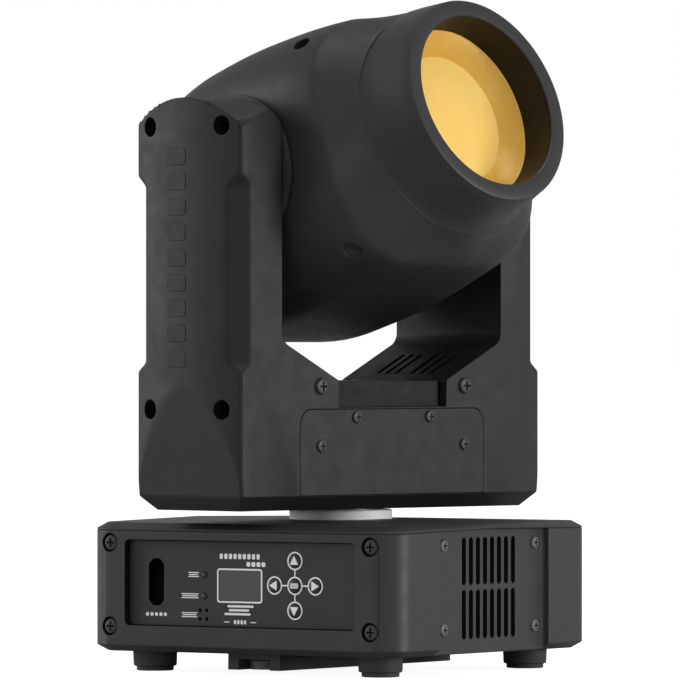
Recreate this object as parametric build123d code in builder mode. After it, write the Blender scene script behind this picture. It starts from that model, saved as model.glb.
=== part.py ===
"""Compact moving head light: a square base with its control panel, a forked yoke that pans on it
and a barrel-shaped head that tilts between the yoke arms.

Millimetres, +Z up.  The origin is on the floor under the pan axis.  The control panel faces -Y and
the side with the louvres faces +X.  Yoke and head are drawn in their own straight frames (front
towards -Y) and are placed at the pan and tilt angles of the rest pose."""
import os
from math import atan, cos, degrees, pi, radians, sin

from build123d import *

os.makedirs("parts", exist_ok=True)

# ------------------------------------------------------------------ driving dimensions
base_w, base_d, base_r = 184.0, 176.0, 14.0        # base body over the end caps
panel_w = 176.0                                    # width over the set-back side panels
base_z0, base_z1 = 10.0, 70.5                      # underside and wall top at the caps
ridge_rise = 1.5                                   # the lid is higher along its middle by this
lid_bevel, lid_bevel_h = 5.0, 2.8
cap_y = 47.8                                       # the caps end here, the side panels start
cap_wall, face_wall = 3.0, 5.5
foot_x, foot_y, foot_r = 67.4, 63.7, 11.0
panel_len, panel_hgt, panel_z = 137.5, 42.0, 44.0  # recess of the control panel
recess = 4.0
button_x, button_z, button_pitch, button_r = 31.0, 43.9, 12.05, 3.3
bar_w, bar_l, bar_z0, bar_z1 = 31.0, 149.0, 1.9, 9.6
collar_r, collar_z = 25.5, 79.4
shaft_r = 18.0

pan_rest, tilt_rest = 80.54, 19.7                  # degrees at rest
yoke_z0, yoke_d = 80.0, 72.0
arm_in, arm_split, arm_edge, arm_out = 77.8, 99.8, 106.0, 110.5
arm_top, arm_top_edge = 281.0, 266.0
notch_z, notch_w, notch_top = 143.0, 37.7, 162.5
cover_w, cover_z = 65.5, 129.3
tilt_z = 244.5

ring_front, ring_r, bore_r = 105.8, 52.2, 43.8
seam_y, seam_z = -14.5, -60.0                      # front and upper edge of the lower cover
head_wall = 2.6
axle_r = 12.0


def save(part, name):
    part.label = name
    export_step(part, f"parts/{name}.step")


yoke_at = Location((0, 0, 0), (0, 0, pan_rest))
head_at = yoke_at * Location((0, 0, tilt_z), (-tilt_rest, 0, 0))


def on_yoke(part, name):
    save(yoke_at * part, name)


def on_head(part, name):
    save(head_at * part, name)


def plate_at(y, facing=-1):
    """A plane at depth y whose sketch X is the object's X and sketch Y is Z."""
    if facing < 0:
        return Plane(origin=(0, y, 0), x_dir=(1, 0, 0), z_dir=(0, -1, 0))
    return Plane(origin=(0, y, 0), x_dir=(-1, 0, 0), z_dir=(0, 1, 0))


def side_at(x):
    """A plane at x whose sketch X is the object's Y and sketch Y is Z."""
    return Plane(origin=(x, 0, 0), x_dir=(0, 1, 0), z_dir=(1, 0, 0))


# ================================================================== base
lid_tilt = degrees(atan(ridge_rise / (base_d / 2)))
wall_screws = [(x, z) for x in (-77.5, 77.5) for z in (22.3, 63.4)]
side_screws = [(y, z) for y in (-40.3, 40.3) for z in (22.2, 63.2)]
inlet_x, dmx_in_x, dmx_out_x, socket_z = 50.0, 0.0, -38.0, 42.0

# a wedge-shaped stock that reaches up to the sloping underside of the lid
with BuildPart() as wall_limit:
    with BuildSketch(Plane.YZ):
        Polygon((-base_d / 2 - 1, base_z0), (base_d / 2 + 1, base_z0), (base_d / 2 + 1, base_z1),
                (0, base_z1 + ridge_rise), (-base_d / 2 - 1, base_z1), align=None)
    extrude(amount=base_w, both=True)


def end_cap(front):
    """One end cap: a thick end wall with short returns along both sides."""
    s = -1 if front else 1
    with BuildPart() as cap:
        with BuildSketch(Plane.XY.offset(base_z0)):
            RectangleRounded(base_w, base_d, base_r)
            with BuildSketch(mode=Mode.SUBTRACT):
                RectangleRounded(base_w - 2 * cap_wall, base_d - 2 * face_wall, base_r - cap_wall)
        extrude(amount=base_z1 + ridge_rise - base_z0)
        with Locations((0, -s * base_d / 2 + s * cap_y, 40)):
            Box(base_w + 2, base_d, 90, mode=Mode.SUBTRACT)
        add(wall_limit.part, mode=Mode.INTERSECT)
        if front:
            with BuildSketch(plate_at(-base_d / 2)):
                with Locations((0.5, panel_z)):
                    RectangleRounded(panel_len, panel_hgt, 2.5)
            extrude(amount=-(recess + 1.5), mode=Mode.SUBTRACT)
            # ledge that the control panel is bonded to
            with BuildSketch(plate_at(-base_d / 2 + recess + 1.6)):
                with Locations((0.5, panel_z)):
                    Rectangle(panel_len + 6, panel_hgt + 6)
                    Rectangle(panel_len - 6, panel_hgt - 6, mode=Mode.SUBTRACT)
            extrude(amount=-1.5)
        else:
            with BuildSketch(plate_at(base_d / 2, 1)):
                with Locations((-inlet_x, socket_z)):
                    Rectangle(28, 20.5)
                with Locations((-dmx_in_x, socket_z), (-dmx_out_x, socket_z)):
                    Circle(12.2)
            extrude(amount=-8, mode=Mode.SUBTRACT)
        with BuildSketch(plate_at(s * base_d / 2, s)):
            with Locations(*wall_screws):
                Circle(4.6)
        extrude(amount=-2.6, mode=Mode.SUBTRACT)
        with BuildSketch(plate_at(s * base_d / 2, s)):
            with Locations(*wall_screws):
                Circle(2.2)
        extrude(amount=-8, mode=Mode.SUBTRACT)
    return cap


front_cap = end_cap(True)
save(front_cap.part, "front_cap")
rear_cap = end_cap(False)
save(rear_cap.part, "rear_cap")

with BuildPart() as base_chassis:
    with BuildSketch(Plane.XY.offset(base_z0)):
        RectangleRounded(panel_w - 4.6, base_d - 2 * face_wall - 0.6, 7.5)
    extrude(amount=2)
    with Locations(*[(x, y, base_z0 + 26) for x in (-62, 62) for y in (-30, 30)]):
        Box(8, 8, 52)
    with Locations((0, 0, 63.5)):
        Box(132, 68, 3)
    with Locations((0, 0, 62)):
        Cylinder(19.0, 10, mode=Mode.SUBTRACT)
    # feet screws and the bracket fastening holes through the floor plate
    with Locations(*[(x, y, base_z0) for x in (-foot_x, foot_x) for y in (-foot_y, foot_y)]):
        Cylinder(2.5, 10, mode=Mode.SUBTRACT)
    with Locations(*[(x, y, base_z0) for x in (-22, 22) for y in (-50, 50)]):
        Cylinder(2.1, 10, mode=Mode.SUBTRACT)
save(base_chassis.part, "base_chassis")

# lid: two tapered halves that slope up to the ridge, so the bevel follows the slope
with BuildPart() as top_plate:
    with BuildSketch(Plane(origin=(0, -base_d / 2, base_z1 + 0.1), x_dir=(1, 0, 0),
                           z_dir=(0, -sin(radians(lid_tilt)), cos(radians(lid_tilt))))):
        with Locations((0, base_d / 2)):
            RectangleRounded(base_w, base_d, base_r)
    extrude(amount=lid_bevel_h, taper=degrees(atan(lid_bevel / lid_bevel_h)))
    split(bisect_by=Plane(origin=(0, 0, 0), x_dir=(1, 0, 0), z_dir=(0, -1, 0)), keep=Keep.TOP)
    mirror(about=Plane.XZ)
    with Locations((0, 0, 74)):
        Cylinder(collar_r + 0.35, 20, mode=Mode.SUBTRACT)
save(top_plate.part, "top_plate")

slot_pitch, slot_w = 6.21, 3.5


def side_panel(s):
    """A louvred side panel, s = +1 or -1 for the side it is on."""
    with BuildPart() as panel:
        with Locations((s * (panel_w / 2 - 1), 0, 40)):
            Box(2, 2 * cap_y - 0.6, 80)
        add(wall_limit.part, mode=Mode.INTERSECT)
        with BuildSketch(side_at(s * panel_w / 2 - 5)):
            for row, tall in ((55.2, 23.2), (29.2, 24.0)):
                with Locations((0, row)):
                    with GridLocations(slot_pitch, 1, 8, 1):
                        SlotOverall(tall, slot_w, rotation=90)
            with Locations(*side_screws):
                Circle(1.7)
        extrude(amount=10, mode=Mode.SUBTRACT)
    return panel


side_panel_right = side_panel(1)
save(side_panel_right.part, "side_panel_right")
side_panel_left = side_panel(-1)
save(side_panel_left.part, "side_panel_left")

face_y = -base_d / 2 + recess                      # front of the control panel
button_spots = {"button_enter": (0, 0), "button_up": (0, 1), "button_down": (0, -1),
                "button_left": (-1, 0), "button_right": (1, 0)}

with BuildPart() as display_panel:
    with BuildSketch(plate_at(face_y)):
        with Locations((0.5, panel_z)):
            RectangleRounded(panel_len - 0.5, panel_hgt - 0.5, 2.3)
        with Locations((-51.9, 44.4)):
            RegularPolygon(5.0, 8, major_radius=False, rotation=22.5, mode=Mode.SUBTRACT)
        with Locations((-51.9, 44.4 + 7)):
            RegularPolygon(4.5, 8, major_radius=False, rotation=22.5, mode=Mode.SUBTRACT)
        with Locations((-51.9, 44.4 - 7)):
            RegularPolygon(4.5, 8, major_radius=False, rotation=22.5, mode=Mode.SUBTRACT)
        with Locations((-51.9, 44.4)):
            Rectangle(9, 16, mode=Mode.SUBTRACT)
        with Locations((-22.8, 48.3), (-22.8, 37.9)):
            Circle(1.6, mode=Mode.SUBTRACT)
        with Locations(*[(x, z) for x in (-25.5, -21.5) for z in (26.7, 31.0)]):
            Circle(0.9, mode=Mode.SUBTRACT)
        with Locations((-1.8, 43.3)):
            RectangleRounded(25.0, 14.8, 0.8, mode=Mode.SUBTRACT)
        with Locations(*[(button_x + i * button_pitch, button_z + k * button_pitch)
                         for i, k in button_spots.values()]):
            Circle(button_r + 0.35, mode=Mode.SUBTRACT)
    extrude(amount=-1.4)
save(display_panel.part, "display_panel")

with BuildPart() as display_window:
    with Locations((-1.8, face_y + 0.9, 43.3)):
        Box(24.5, 1.2, 14.3)
save(display_window.part, "display_window")

with BuildPart() as status_lights:
    with Locations(Location((-22.8, face_y + 0.9, 48.3), (90, 0, 0)),
                   Location((-22.8, face_y + 0.9, 37.9), (90, 0, 0))):
        Cylinder(1.5, 2.6)
save(status_lights.part, "status_lights")

for label, (i, k) in button_spots.items():
    x, z = button_x + i * button_pitch, button_z + k * button_pitch
    with BuildPart() as button:
        with Locations(Location((x, face_y + 0.6, z), (90, 0, 0))):
            Cylinder(button_r, 2.6)
        with Locations(Location((x, face_y + 2.6, z), (90, 0, 0))):
            Cylinder(button_r + 0.9, 1.4)
        with Locations(Location((x, face_y + 4.0, z), (90, 0, 0))):
            Cylinder(1.5, 1.6)
    save(button.part, label)

with BuildPart() as control_board:
    with Locations((12, face_y + 7.2, panel_z)):
        Box(92, 1.6, 33)
    with Locations((-1.8, face_y + 4.0, 43.3)):
        Box(27, 4.6, 17)
    with Locations((-15, face_y + 12, panel_z)):
        Box(30, 8, 12)
save(control_board.part, "control_board")

# feet: four moulded rubber pads screwed to the floor plate
with BuildPart() as feet:
    for x in (-foot_x, foot_x):
        for y in (-foot_y, foot_y):
            with BuildSketch(Plane.XY.offset(0)):
                with Locations((x, y)):
                    Circle(9.2)
            extrude(amount=2.2)
            with BuildSketch(Plane.XY.offset(2.2)):
                with Locations((x, y)):
                    Circle(foot_r)
            extrude(amount=base_z0 - 2.4)
save(feet.part, "feet")

lock_y = bar_l / 2 - 12
with BuildPart() as bracket_bar:
    with Locations((0, 0, (bar_z0 + bar_z1) / 2)):
        Box(bar_w, bar_l, bar_z1 - bar_z0)
    with Locations((0, 0, bar_z1 - 0.75)):
        Box(52, bar_l - 30, 1.5)
    with Locations((0, 0, bar_z0 + 2.5)):
        Box(bar_w - 5, bar_l - 52, 7, mode=Mode.SUBTRACT)
    for s in (-1, 1):
        with Locations((0, s * lock_y, bar_z0 + 2.6)):
            Cylinder(9.4, 5.4, mode=Mode.SUBTRACT)
        with Locations((0, s * (lock_y + 7), bar_z0 + 2.6)):
            Box(18.8, 14, 5.4, mode=Mode.SUBTRACT)
        with Locations((0, s * lock_y, bar_z1)):
            Cylinder(3.05, 10, mode=Mode.SUBTRACT)
    with Locations(*[(x, y, bar_z1) for x in (-22, 22) for y in (-50, 50)]):
        Cylinder(2.1, 10, mode=Mode.SUBTRACT)
save(bracket_bar.part, "bracket_bar")

for s, label in ((-1, "bracket_lock_front"), (1, "bracket_lock_rear")):
    with BuildPart() as lock:
        with Locations((0, s * lock_y, bar_z0 + 2.4)):
            Cylinder(8.8, 4.4)
        with Locations((0, s * lock_y, 7.2)):
            Cylinder(3.0, 5.0)
        with Locations((0, s * lock_y, bar_z0 + 0.6)):
            Box(13, 2.0, 1.4, mode=Mode.SUBTRACT)
    save(lock.part, label)

with BuildPart() as power_supply:
    with Locations((-24, -51.5, 32)):
        Box(96, 31, 38)
    with Locations((-24, -51.5, 49)):
        Box(90, 25, 6, mode=Mode.SUBTRACT)
    with Locations(*[(x, -51.5, 47) for x in (-55, -35, -5, 12)]):
        Box(11, 14, 5)
save(power_supply.part, "power_supply")

with BuildPart() as main_board:
    with Locations((-6, 54, 15)):
        Box(130, 36, 1.6)
    with Locations((-44, 54, 19.3), (-10, 54, 19.3), (24, 54, 19.3)):
        Box(18, 18, 7)
    with Locations(*[(x, 40, 17.8) for x in (-60, -48, -36, 36, 46)]):
        Box(7, 5, 4)
save(main_board.part, "main_board")


def fan_frame(size, thick, bore, plane):
    with BuildPart() as frame:
        with BuildSketch(plane):
            RectangleRounded(size, size, 3)
            Circle(bore, mode=Mode.SUBTRACT)
            with GridLocations(size - 8, size - 8, 2, 2):
                Circle(1.7, mode=Mode.SUBTRACT)
        extrude(amount=thick)
        with BuildSketch(plane):
            Circle(bore * 0.42)
            with PolarLocations(bore * 0.7, 3, start_angle=30):
                Rectangle(bore * 0.9, 2.4)
        extrude(amount=1.6)
        with BuildSketch(plane):
            RectangleRounded(size, size, 3)
        extrude(amount=thick, mode=Mode.INTERSECT)
    return frame


def fan_rotor(thick, radius, plane):
    with BuildPart() as rotor:
        with BuildSketch(plane.offset(2.0)):
            Circle(radius * 0.42)
        extrude(amount=thick)
        for i in range(7):
            a = i * 2 * pi / 7
            spot = plane * Location((radius * 0.66 * cos(a), radius * 0.66 * sin(a), 2.0 + thick / 2),
                                    (0, 0, degrees(a))) * Location((0, 0, 0), (38, 0, 0))
            with Locations(spot):
                Box(radius * 0.62, 1.1, thick * 1.02)
        with BuildSketch(plane.offset(2.0)):
            Circle(radius)
        extrude(amount=thick, mode=Mode.INTERSECT)
    return rotor


base_fan_plane = Plane(origin=(75.3, 0, 38), x_dir=(0, 1, 0), z_dir=(1, 0, 0))
save(fan_frame(40, 10, 18.6, base_fan_plane).part, "base_fan")
save(fan_rotor(7.5, 17.9, base_fan_plane).part, "base_fan_rotor")

with BuildPart() as power_inlet:
    with Locations((inlet_x, base_d / 2 + 0.95, socket_z)):
        Box(48, 1.8, 24)
    with Locations((inlet_x, base_d / 2 - 11, socket_z)):
        Box(27.4, 22, 20)
    with Locations((inlet_x, base_d / 2 - 5, socket_z)):
        Box(24, 16, 16.5, mode=Mode.SUBTRACT)
    with Locations(*[(inlet_x + x, base_d / 2 - 8, socket_z + z) for x, z in ((-7, 0), (0, 3), (7, 0))]):
        Box(2, 12, 4)
    with Locations(*[Location((inlet_x + x, base_d / 2, socket_z), (90, 0, 0)) for x in (-20, 20)]):
        Cylinder(1.7, 10, mode=Mode.SUBTRACT)
save(power_inlet.part, "power_inlet")


def xlr(x, pins):
    """A three-pole round signal socket: pins = True for the plug half with pins."""
    y = base_d / 2
    with BuildPart() as socket:
        with Locations((x, y + 0.95, socket_z)):
            Box(26, 1.8, 30)
        with Locations(Location((x, y - 10.5, socket_z), (90, 0, 0))):
            Cylinder(11.9, 21)
        if pins:
            with Locations(Location((x, y - 7, socket_z), (90, 0, 0))):
                Cylinder(10.2, 22, mode=Mode.SUBTRACT)
            for a in (30, 150, 270):
                p = Location((x + 4.2 * cos(radians(a)), y - 11, socket_z + 4.2 * sin(radians(a))),
                             (90, 0, 0))
                with Locations(p):
                    Cylinder(1.25, 16)
        else:
            with Locations(Location((x, y - 6, socket_z), (90, 0, 0))):
                Cylinder(10.2, 18, mode=Mode.SUBTRACT)
            with Locations(Location((x, y - 8.5, socket_z), (90, 0, 0))):
                Cylinder(8.6, 17)
            for a in (30, 150, 270):
                p = Location((x + 4.2 * cos(radians(a)), y - 5, socket_z + 4.2 * sin(radians(a))),
                             (90, 0, 0))
                with Locations(p):
                    Cylinder(1.5, 16, mode=Mode.SUBTRACT)
    return socket


save(xlr(dmx_in_x, True).part, "dmx_input")
save(xlr(dmx_out_x, False).part, "dmx_output")


def screw(where, head, head_h, shank, length):
    """A pan-head screw: where points out of the surface along its local Z, head base at 0."""
    with Locations(where):
        with Locations((0, 0, head_h / 2)):
            Cylinder(head, head_h)
        with Locations((0, 0, -length / 2)):
            Cylinder(shank, length)
        with Locations((0, 0, head_h)):
            Box(head * 1.1, 0.9, 1.6, mode=Mode.SUBTRACT)
            Box(0.9, head * 1.1, 1.6, mode=Mode.SUBTRACT)


out_front, out_back = (90, 0, 0), (-90, 0, 0)
out_right, out_left = (0, 90, 0), (0, -90, 0)
with BuildPart() as base_screws:
    for x, z in wall_screws:
        screw(Location((x, -base_d / 2 + 2.6, z), out_front), 3.9, 2.3, 1.9, 2.7)
        screw(Location((x, base_d / 2 - 2.6, z), out_back), 3.9, 2.3, 1.9, 2.7)
    for y, z in side_screws:
        screw(Location((panel_w / 2, y, z), out_right), 3.0, 1.8, 1.4, 1.9)
        screw(Location((-panel_w / 2, y, z), out_left), 3.0, 1.8, 1.4, 1.9)
save(base_screws.part, "base_screws")

with BuildPart() as pan_collar:
    with BuildSketch(Plane.XY.offset(65.2)):
        Circle(collar_r)
    extrude(amount=collar_z - 65.2)
    with BuildSketch(Plane.XY.offset(65.2)):
        Circle(31)
    extrude(amount=3)
    with BuildSketch(Plane.XY.offset(60)):
        Circle(shaft_r + 0.05)
    extrude(amount=30, mode=Mode.SUBTRACT)
    chamfer(pan_collar.edges().filter_by(GeomType.CIRCLE).group_by(Axis.Z)[-1]
            .sort_by(SortBy.RADIUS)[-1], 0.6)
save(pan_collar.part, "pan_collar")

gear_z, gear_h, gear_r, pinion_r, motor_x = 46.0, 8.0, 32.0, 8.0, -54.5
with BuildPart() as pan_motor:
    with Locations((motor_x, 0, 27.4)):
        Box(38, 38, 30)
    with Locations((motor_x, 0, 48)):
        Cylinder(2.5, 13)
save(pan_motor.part, "pan_motor")


def pulley(radius, height, bore, flange, teeth):
    """A flanged toothed pulley on Z with its lower flange at z = 0."""
    with BuildPart() as wheel:
        with BuildSketch(Plane.XY):
            Circle(radius)
            with PolarLocations(radius, teeth):
                Circle(0.45, mode=Mode.SUBTRACT)
        extrude(amount=height)
        for z in (0, height - 1):
            with BuildSketch(Plane.XY.offset(z)):
                Circle(radius + flange)
            extrude(amount=1)
        with BuildSketch(Plane.XY):
            Circle(bore)
        extrude(amount=height, mode=Mode.SUBTRACT)
    return wheel


def belt(distance, r1, r2, width, gap=0.35, thick=1.3):
    """An open belt loop round two pulleys on Z, at the origin and at +X distance."""
    with BuildPart() as loop:
        with BuildSketch(Plane.XY):
            make_hull([*Circle(r1 + gap + thick, mode=Mode.PRIVATE).edges(),
                       *Circle(r2 + gap + thick, mode=Mode.PRIVATE)
                       .moved(Location((distance, 0))).edges()])
            make_hull([*Circle(r1 + gap, mode=Mode.PRIVATE).edges(),
                       *Circle(r2 + gap, mode=Mode.PRIVATE)
                       .moved(Location((distance, 0))).edges()], mode=Mode.SUBTRACT)
        extrude(amount=width)
    return loop


save(Location((motor_x, 0, gear_z)) * pulley(pinion_r, gear_h, 2.55, 1.0, 16).part,
     "pan_motor_pulley")
save(Location((motor_x, 0, gear_z + 1.5)) * belt(-motor_x, pinion_r, gear_r, gear_h - 3).part,
     "pan_belt")

# ================================================================== yoke (straight frame)
with BuildPart() as pan_shaft:
    with BuildSketch(Plane.XY.offset(40)):
        Circle(shaft_r)
    extrude(amount=52)
    with BuildSketch(Plane.XY.offset(yoke_z0 + 2.85)):
        Circle(25.5)
    extrude(amount=3.5)
    with BuildSketch(Plane.XY.offset(39)):
        Circle(13)
    extrude(amount=60, mode=Mode.SUBTRACT)
on_yoke(pan_shaft.part, "pan_shaft")
on_yoke(Location((0, 0, gear_z)) * pulley(gear_r, gear_h, shaft_r + 0.02, 1.0, 64).part,
        "pan_pulley")


def arm_stock(inset):
    """The whole fork as one solid, shrunk inwards by inset on its outside faces."""
    half = yoke_d / 2 - inset
    with BuildPart() as stock:
        # plan: flat front and back, bulged outer faces
        with BuildSketch(Plane.XY.offset(yoke_z0 + inset)):
            with BuildLine():
                a = Line((-arm_edge + inset, -half), (arm_edge - inset, -half))
                b = ThreePointArc(a @ 1, (arm_out - inset, 0), (arm_edge - inset, half))
                c = Line(b @ 1, (-arm_edge + inset, half))
                ThreePointArc(c @ 1, (-arm_out + inset, 0), a @ 0)
            make_face()
        extrude(amount=arm_top - yoke_z0 + 10)
        # side view: arched top
        with BuildSketch(Plane.YZ):
            with BuildLine():
                p = Line((half + 2, yoke_z0 - 5), (-half - 2, yoke_z0 - 5))
                q = Line(p @ 1, (-half - 2, arm_top_edge - 2 - inset))
                r = ThreePointArc(q @ 1, (0, arm_top - inset), (half + 2, arm_top_edge - 2 - inset))
                Line(r @ 1, p @ 0)
            make_face()
        extrude(amount=200, both=True, mode=Mode.INTERSECT)
        # front view: space between the arms and the trapezoid notch, bevelled lower corners
        with BuildSketch(Plane.XZ):
            Polygon((-notch_w + inset, notch_z - inset), (notch_w - inset, notch_z - inset),
                    (arm_in + inset, notch_top - inset * 0.6), (arm_in + inset, 320),
                    (-arm_in - inset, 320), (-arm_in - inset, notch_top - inset * 0.6),
                    align=None)
        extrude(amount=60, both=True, mode=Mode.SUBTRACT)
        with BuildSketch(Plane.XZ):
            for s in (-1, 1):
                Polygon((s * 120, yoke_z0 - 1), (s * (99.0 - inset), yoke_z0 - 1),
                        (s * (arm_edge + 3 - inset), yoke_z0 + 11), (s * 120, yoke_z0 + 24),
                        align=None)
        extrude(amount=60, both=True, mode=Mode.SUBTRACT)
        with BuildSketch(Plane.YZ):
            for s in (-1, 1):
                Polygon((s * (half + 3), yoke_z0 + inset - 0.1), (s * (half - 7), yoke_z0 + inset - 0.1),
                        (s * (half + 0.01), yoke_z0 + inset + 7), (s * (half + 3), yoke_z0 + inset + 7),
                        align=None)
        extrude(amount=200, both=True, mode=Mode.SUBTRACT)
        # bevelled upright corners of the arms between the shoulders
        for sx in (-1, 1):
            for sy in (-1, 1):
                with BuildSketch(Plane.XY.offset(149)):
                    Polygon((sx * (arm_edge - 6.2 - inset), sy * half),
                            (sx * (arm_edge + 0.8 - inset), sy * (half - 6.0)),
                            (sx * (arm_edge + 8), sy * (half + 8)), align=None)
                extrude(amount=92, mode=Mode.SUBTRACT)
    return stock


fork = arm_stock(0)
core = arm_stock(2.8)

with BuildPart() as yoke_body:
    add(fork.part)
    add(core.part, mode=Mode.SUBTRACT)
    for s in (-1, 1):
        with Locations((s * (arm_split + 15), 0, 180)):
            Box(30, 100, 260, mode=Mode.SUBTRACT)
    # rounded inner edge of both arm tops
    for s in (-1, 1):
        with Locations((s * arm_in, 0, arm_top)):
            Box(14, 80, 14, rotation=(0, 45, 0), mode=Mode.SUBTRACT)
    # floor hole for the pan shaft
    with Locations((0, 0, yoke_z0)):
        Cylinder(shaft_r + 0.6, 12, mode=Mode.SUBTRACT)
    # tilt axle holes through both inner walls
    with Locations(Location((0, 0, tilt_z), (0, 90, 0))):
        Cylinder(14, 2 * arm_split + 4, mode=Mode.SUBTRACT)
    # service window under the notch and the opening behind each cover plate
    for s in (-1, 1):
        with Locations((0, s * yoke_d / 2, 136.2)):
            Box(73, 3.2, 11.8, mode=Mode.SUBTRACT)
        with BuildSketch(plate_at(s * yoke_d / 2, s)):
            Polygon((-cover_w, yoke_z0 + 7.2), (cover_w, yoke_z0 + 7.2), (cover_w, cover_z - 6),
                    (cover_w - 4, cover_z), (4 - cover_w, cover_z), (-cover_w, cover_z - 6),
                    align=None)
        extrude(amount=-1.5, mode=Mode.SUBTRACT)
        with BuildSketch(plate_at(s * yoke_d / 2, s)):
            with Locations((0, 103)):
                Rectangle(70, 22)
            with Locations((-51.1, 140.4), (51.1, 140.4), (-51, 111.3), (51, 111.3),
                           (-26, 125.3), (26, 125.3)):
                Circle(1.6)
        extrude(amount=-8, mode=Mode.SUBTRACT)
on_yoke(yoke_body.part, "yoke_body")

arm_screws = [(y, z) for y in (-24.6, 24.6) for z in (129.2, 267.0)]


def arm_cover(s):
    """The bulged outer cover of one arm, s = -1 left, +1 right."""
    with BuildPart() as cover:
        add(fork.part)
        add(core.part, mode=Mode.SUBTRACT)
        with Locations((s * (arm_split + 0.3 + 15), 0, 180)):
            Box(30, 100, 260, mode=Mode.INTERSECT)
        with BuildSketch(side_at(s * 120)):
            with Locations(*arm_screws):
                Circle(5.0)
        extrude(amount=-s * 12.2, mode=Mode.SUBTRACT)
        with BuildSketch(side_at(s * 120)):
            with Locations(*arm_screws):
                Circle(5.0)
        extrude(amount=-s * 15.0)
        with BuildSketch(side_at(s * 120)):
            with Locations(*arm_screws):
                Circle(4.4)
        extrude(amount=-s * 13.2, mode=Mode.SUBTRACT)
        with BuildSketch(side_at(s * 120)):
            with Locations(*arm_screws):
                Circle(1.6)
        extrude(amount=-s * 30, mode=Mode.SUBTRACT)
        add(fork.part, mode=Mode.INTERSECT)
    return cover


on_yoke(arm_cover(-1).part, "arm_cover_left")
on_yoke(arm_cover(1).part, "arm_cover_right")


def yoke_cover(s):
    """Front or rear cover plate of the yoke foot, s = -1 front, +1 rear."""
    with BuildPart() as cover:
        with BuildSketch(plate_at(s * yoke_d / 2, s)):
            Polygon((0.4 - cover_w, yoke_z0 + 7.6), (cover_w - 0.4, yoke_z0 + 7.6),
                    (cover_w - 0.4, cover_z - 6.2), (cover_w - 4.2, cover_z - 0.4),
                    (4.2 - cover_w, cover_z - 0.4), (0.4 - cover_w, cover_z - 6.2), align=None)
            with Locations((-51, 111.3), (51, 111.3), (-26, 125.3), (26, 125.3)):
                Circle(1.6, mode=Mode.SUBTRACT)
        extrude(amount=-1.3)
    return cover


on_yoke(yoke_cover(-1).part, "yoke_cover_front")
on_yoke(yoke_cover(1).part, "yoke_cover_rear")

with BuildPart() as yoke_screws:
    for s, out in ((-1, out_front), (1, out_back)):
        for x in (-51.1, 51.1):
            screw(Location((x, s * yoke_d / 2, 140.4), out), 4.0, 2.4, 1.5, 2.7)
        for x, z in ((-51, 111.3), (51, 111.3), (-26, 125.3), (26, 125.3)):
            screw(Location((x, s * yoke_d / 2, z), out), 3.0, 1.8, 1.4, 3.0)
    for s, out in ((-1, out_left), (1, out_right)):
        for y, z in arm_screws:
            screw(Location((s * 106.8, y, z), out), 3.0, 1.8, 1.4, 3.0)
on_yoke(yoke_screws.part, "yoke_screws")

belt_x, belt_w, drive_r, driven_r, tilt_motor_z = 88.5, 8.0, 8.0, 24.0, 112.0
to_side = Location((belt_x, 0, 0), (0, 90, 0))
with BuildPart() as tilt_motor:
    with Locations((62, 0, tilt_motor_z)):
        Box(30, 42, 42)
    with Locations(Location((86, 0, tilt_motor_z), (0, 90, 0))):
        Cylinder(2.5, 20)
on_yoke(tilt_motor.part, "tilt_motor")
on_yoke(Location((belt_x, 0, tilt_motor_z), (0, 90, 0)) * pulley(drive_r, belt_w, 2.55, 1.0, 16).part,
        "tilt_motor_pulley")
on_yoke(Location((belt_x + 1.5, 0, tilt_z), (0, 90, 0))
        * belt(tilt_z - tilt_motor_z, driven_r, drive_r, belt_w - 3).part, "tilt_belt")

with BuildPart() as tilt_bearings:
    for s in (-1, 1):
        with Locations(Location((s * 84.2, 0, tilt_z), (0, 90, 0))):
            Cylinder(20, 6.4)
            Cylinder(axle_r + 0.05, 8, mode=Mode.SUBTRACT)
on_yoke(tilt_bearings.part, "tilt_bearings")

# ================================================================== head (straight frame, lens to -Y)
# depth along the optical axis, half width, height above and below the axis, corner radius
sections = [(-74.5, 60.2, 60.0, 60.0, 59.6), (-62, 70.0, 60.2, 64.5, 50.0),
            (-46, 72.6, 61.0, 66.2, 43.0), (-12, 73.9, 65.0, 68.2, 40.0),
            (18, 73.7, 65.6, 68.2, 39.5), (52, 69.4, 61.6, 64.2, 39.0),
            (77, 56.5, 50.0, 55.5, 37.0), (84.5, 45.0, 39.0, 46.0, 34.0)]


def head_stock(inset):
    with BuildPart() as stock:
        for y, w, up, down, r in sections:
            y = y if inset == 0 else max(min(y, 84.5 - inset), -76)
            with BuildSketch(plate_at(y, 1)):
                with Locations((0, (up - down) / 2)):
                    RectangleRounded(2 * (w - inset), up + down - 2 * inset, r - inset)
        loft(ruled=False)
    return stock


shell_out = head_stock(0)
shell_in = head_stock(head_wall)

# screw wells of the shell: a point on the skin and the outward direction there
wells = [Plane(origin=(s * x, y, z), z_dir=(s * nx, ny, nz)).location
         for s in (-1, 1)
         for x, y, z, nx, ny, nz in ((57.1, -45.0, 50.4, 0.64, -0.08, 0.76),
                                     (59.0, -20.0, 53.7, 0.65, -0.05, 0.76),
                                     (56.4, -46.0, -56.2, 0.63, -0.08, -0.78))]

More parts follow.
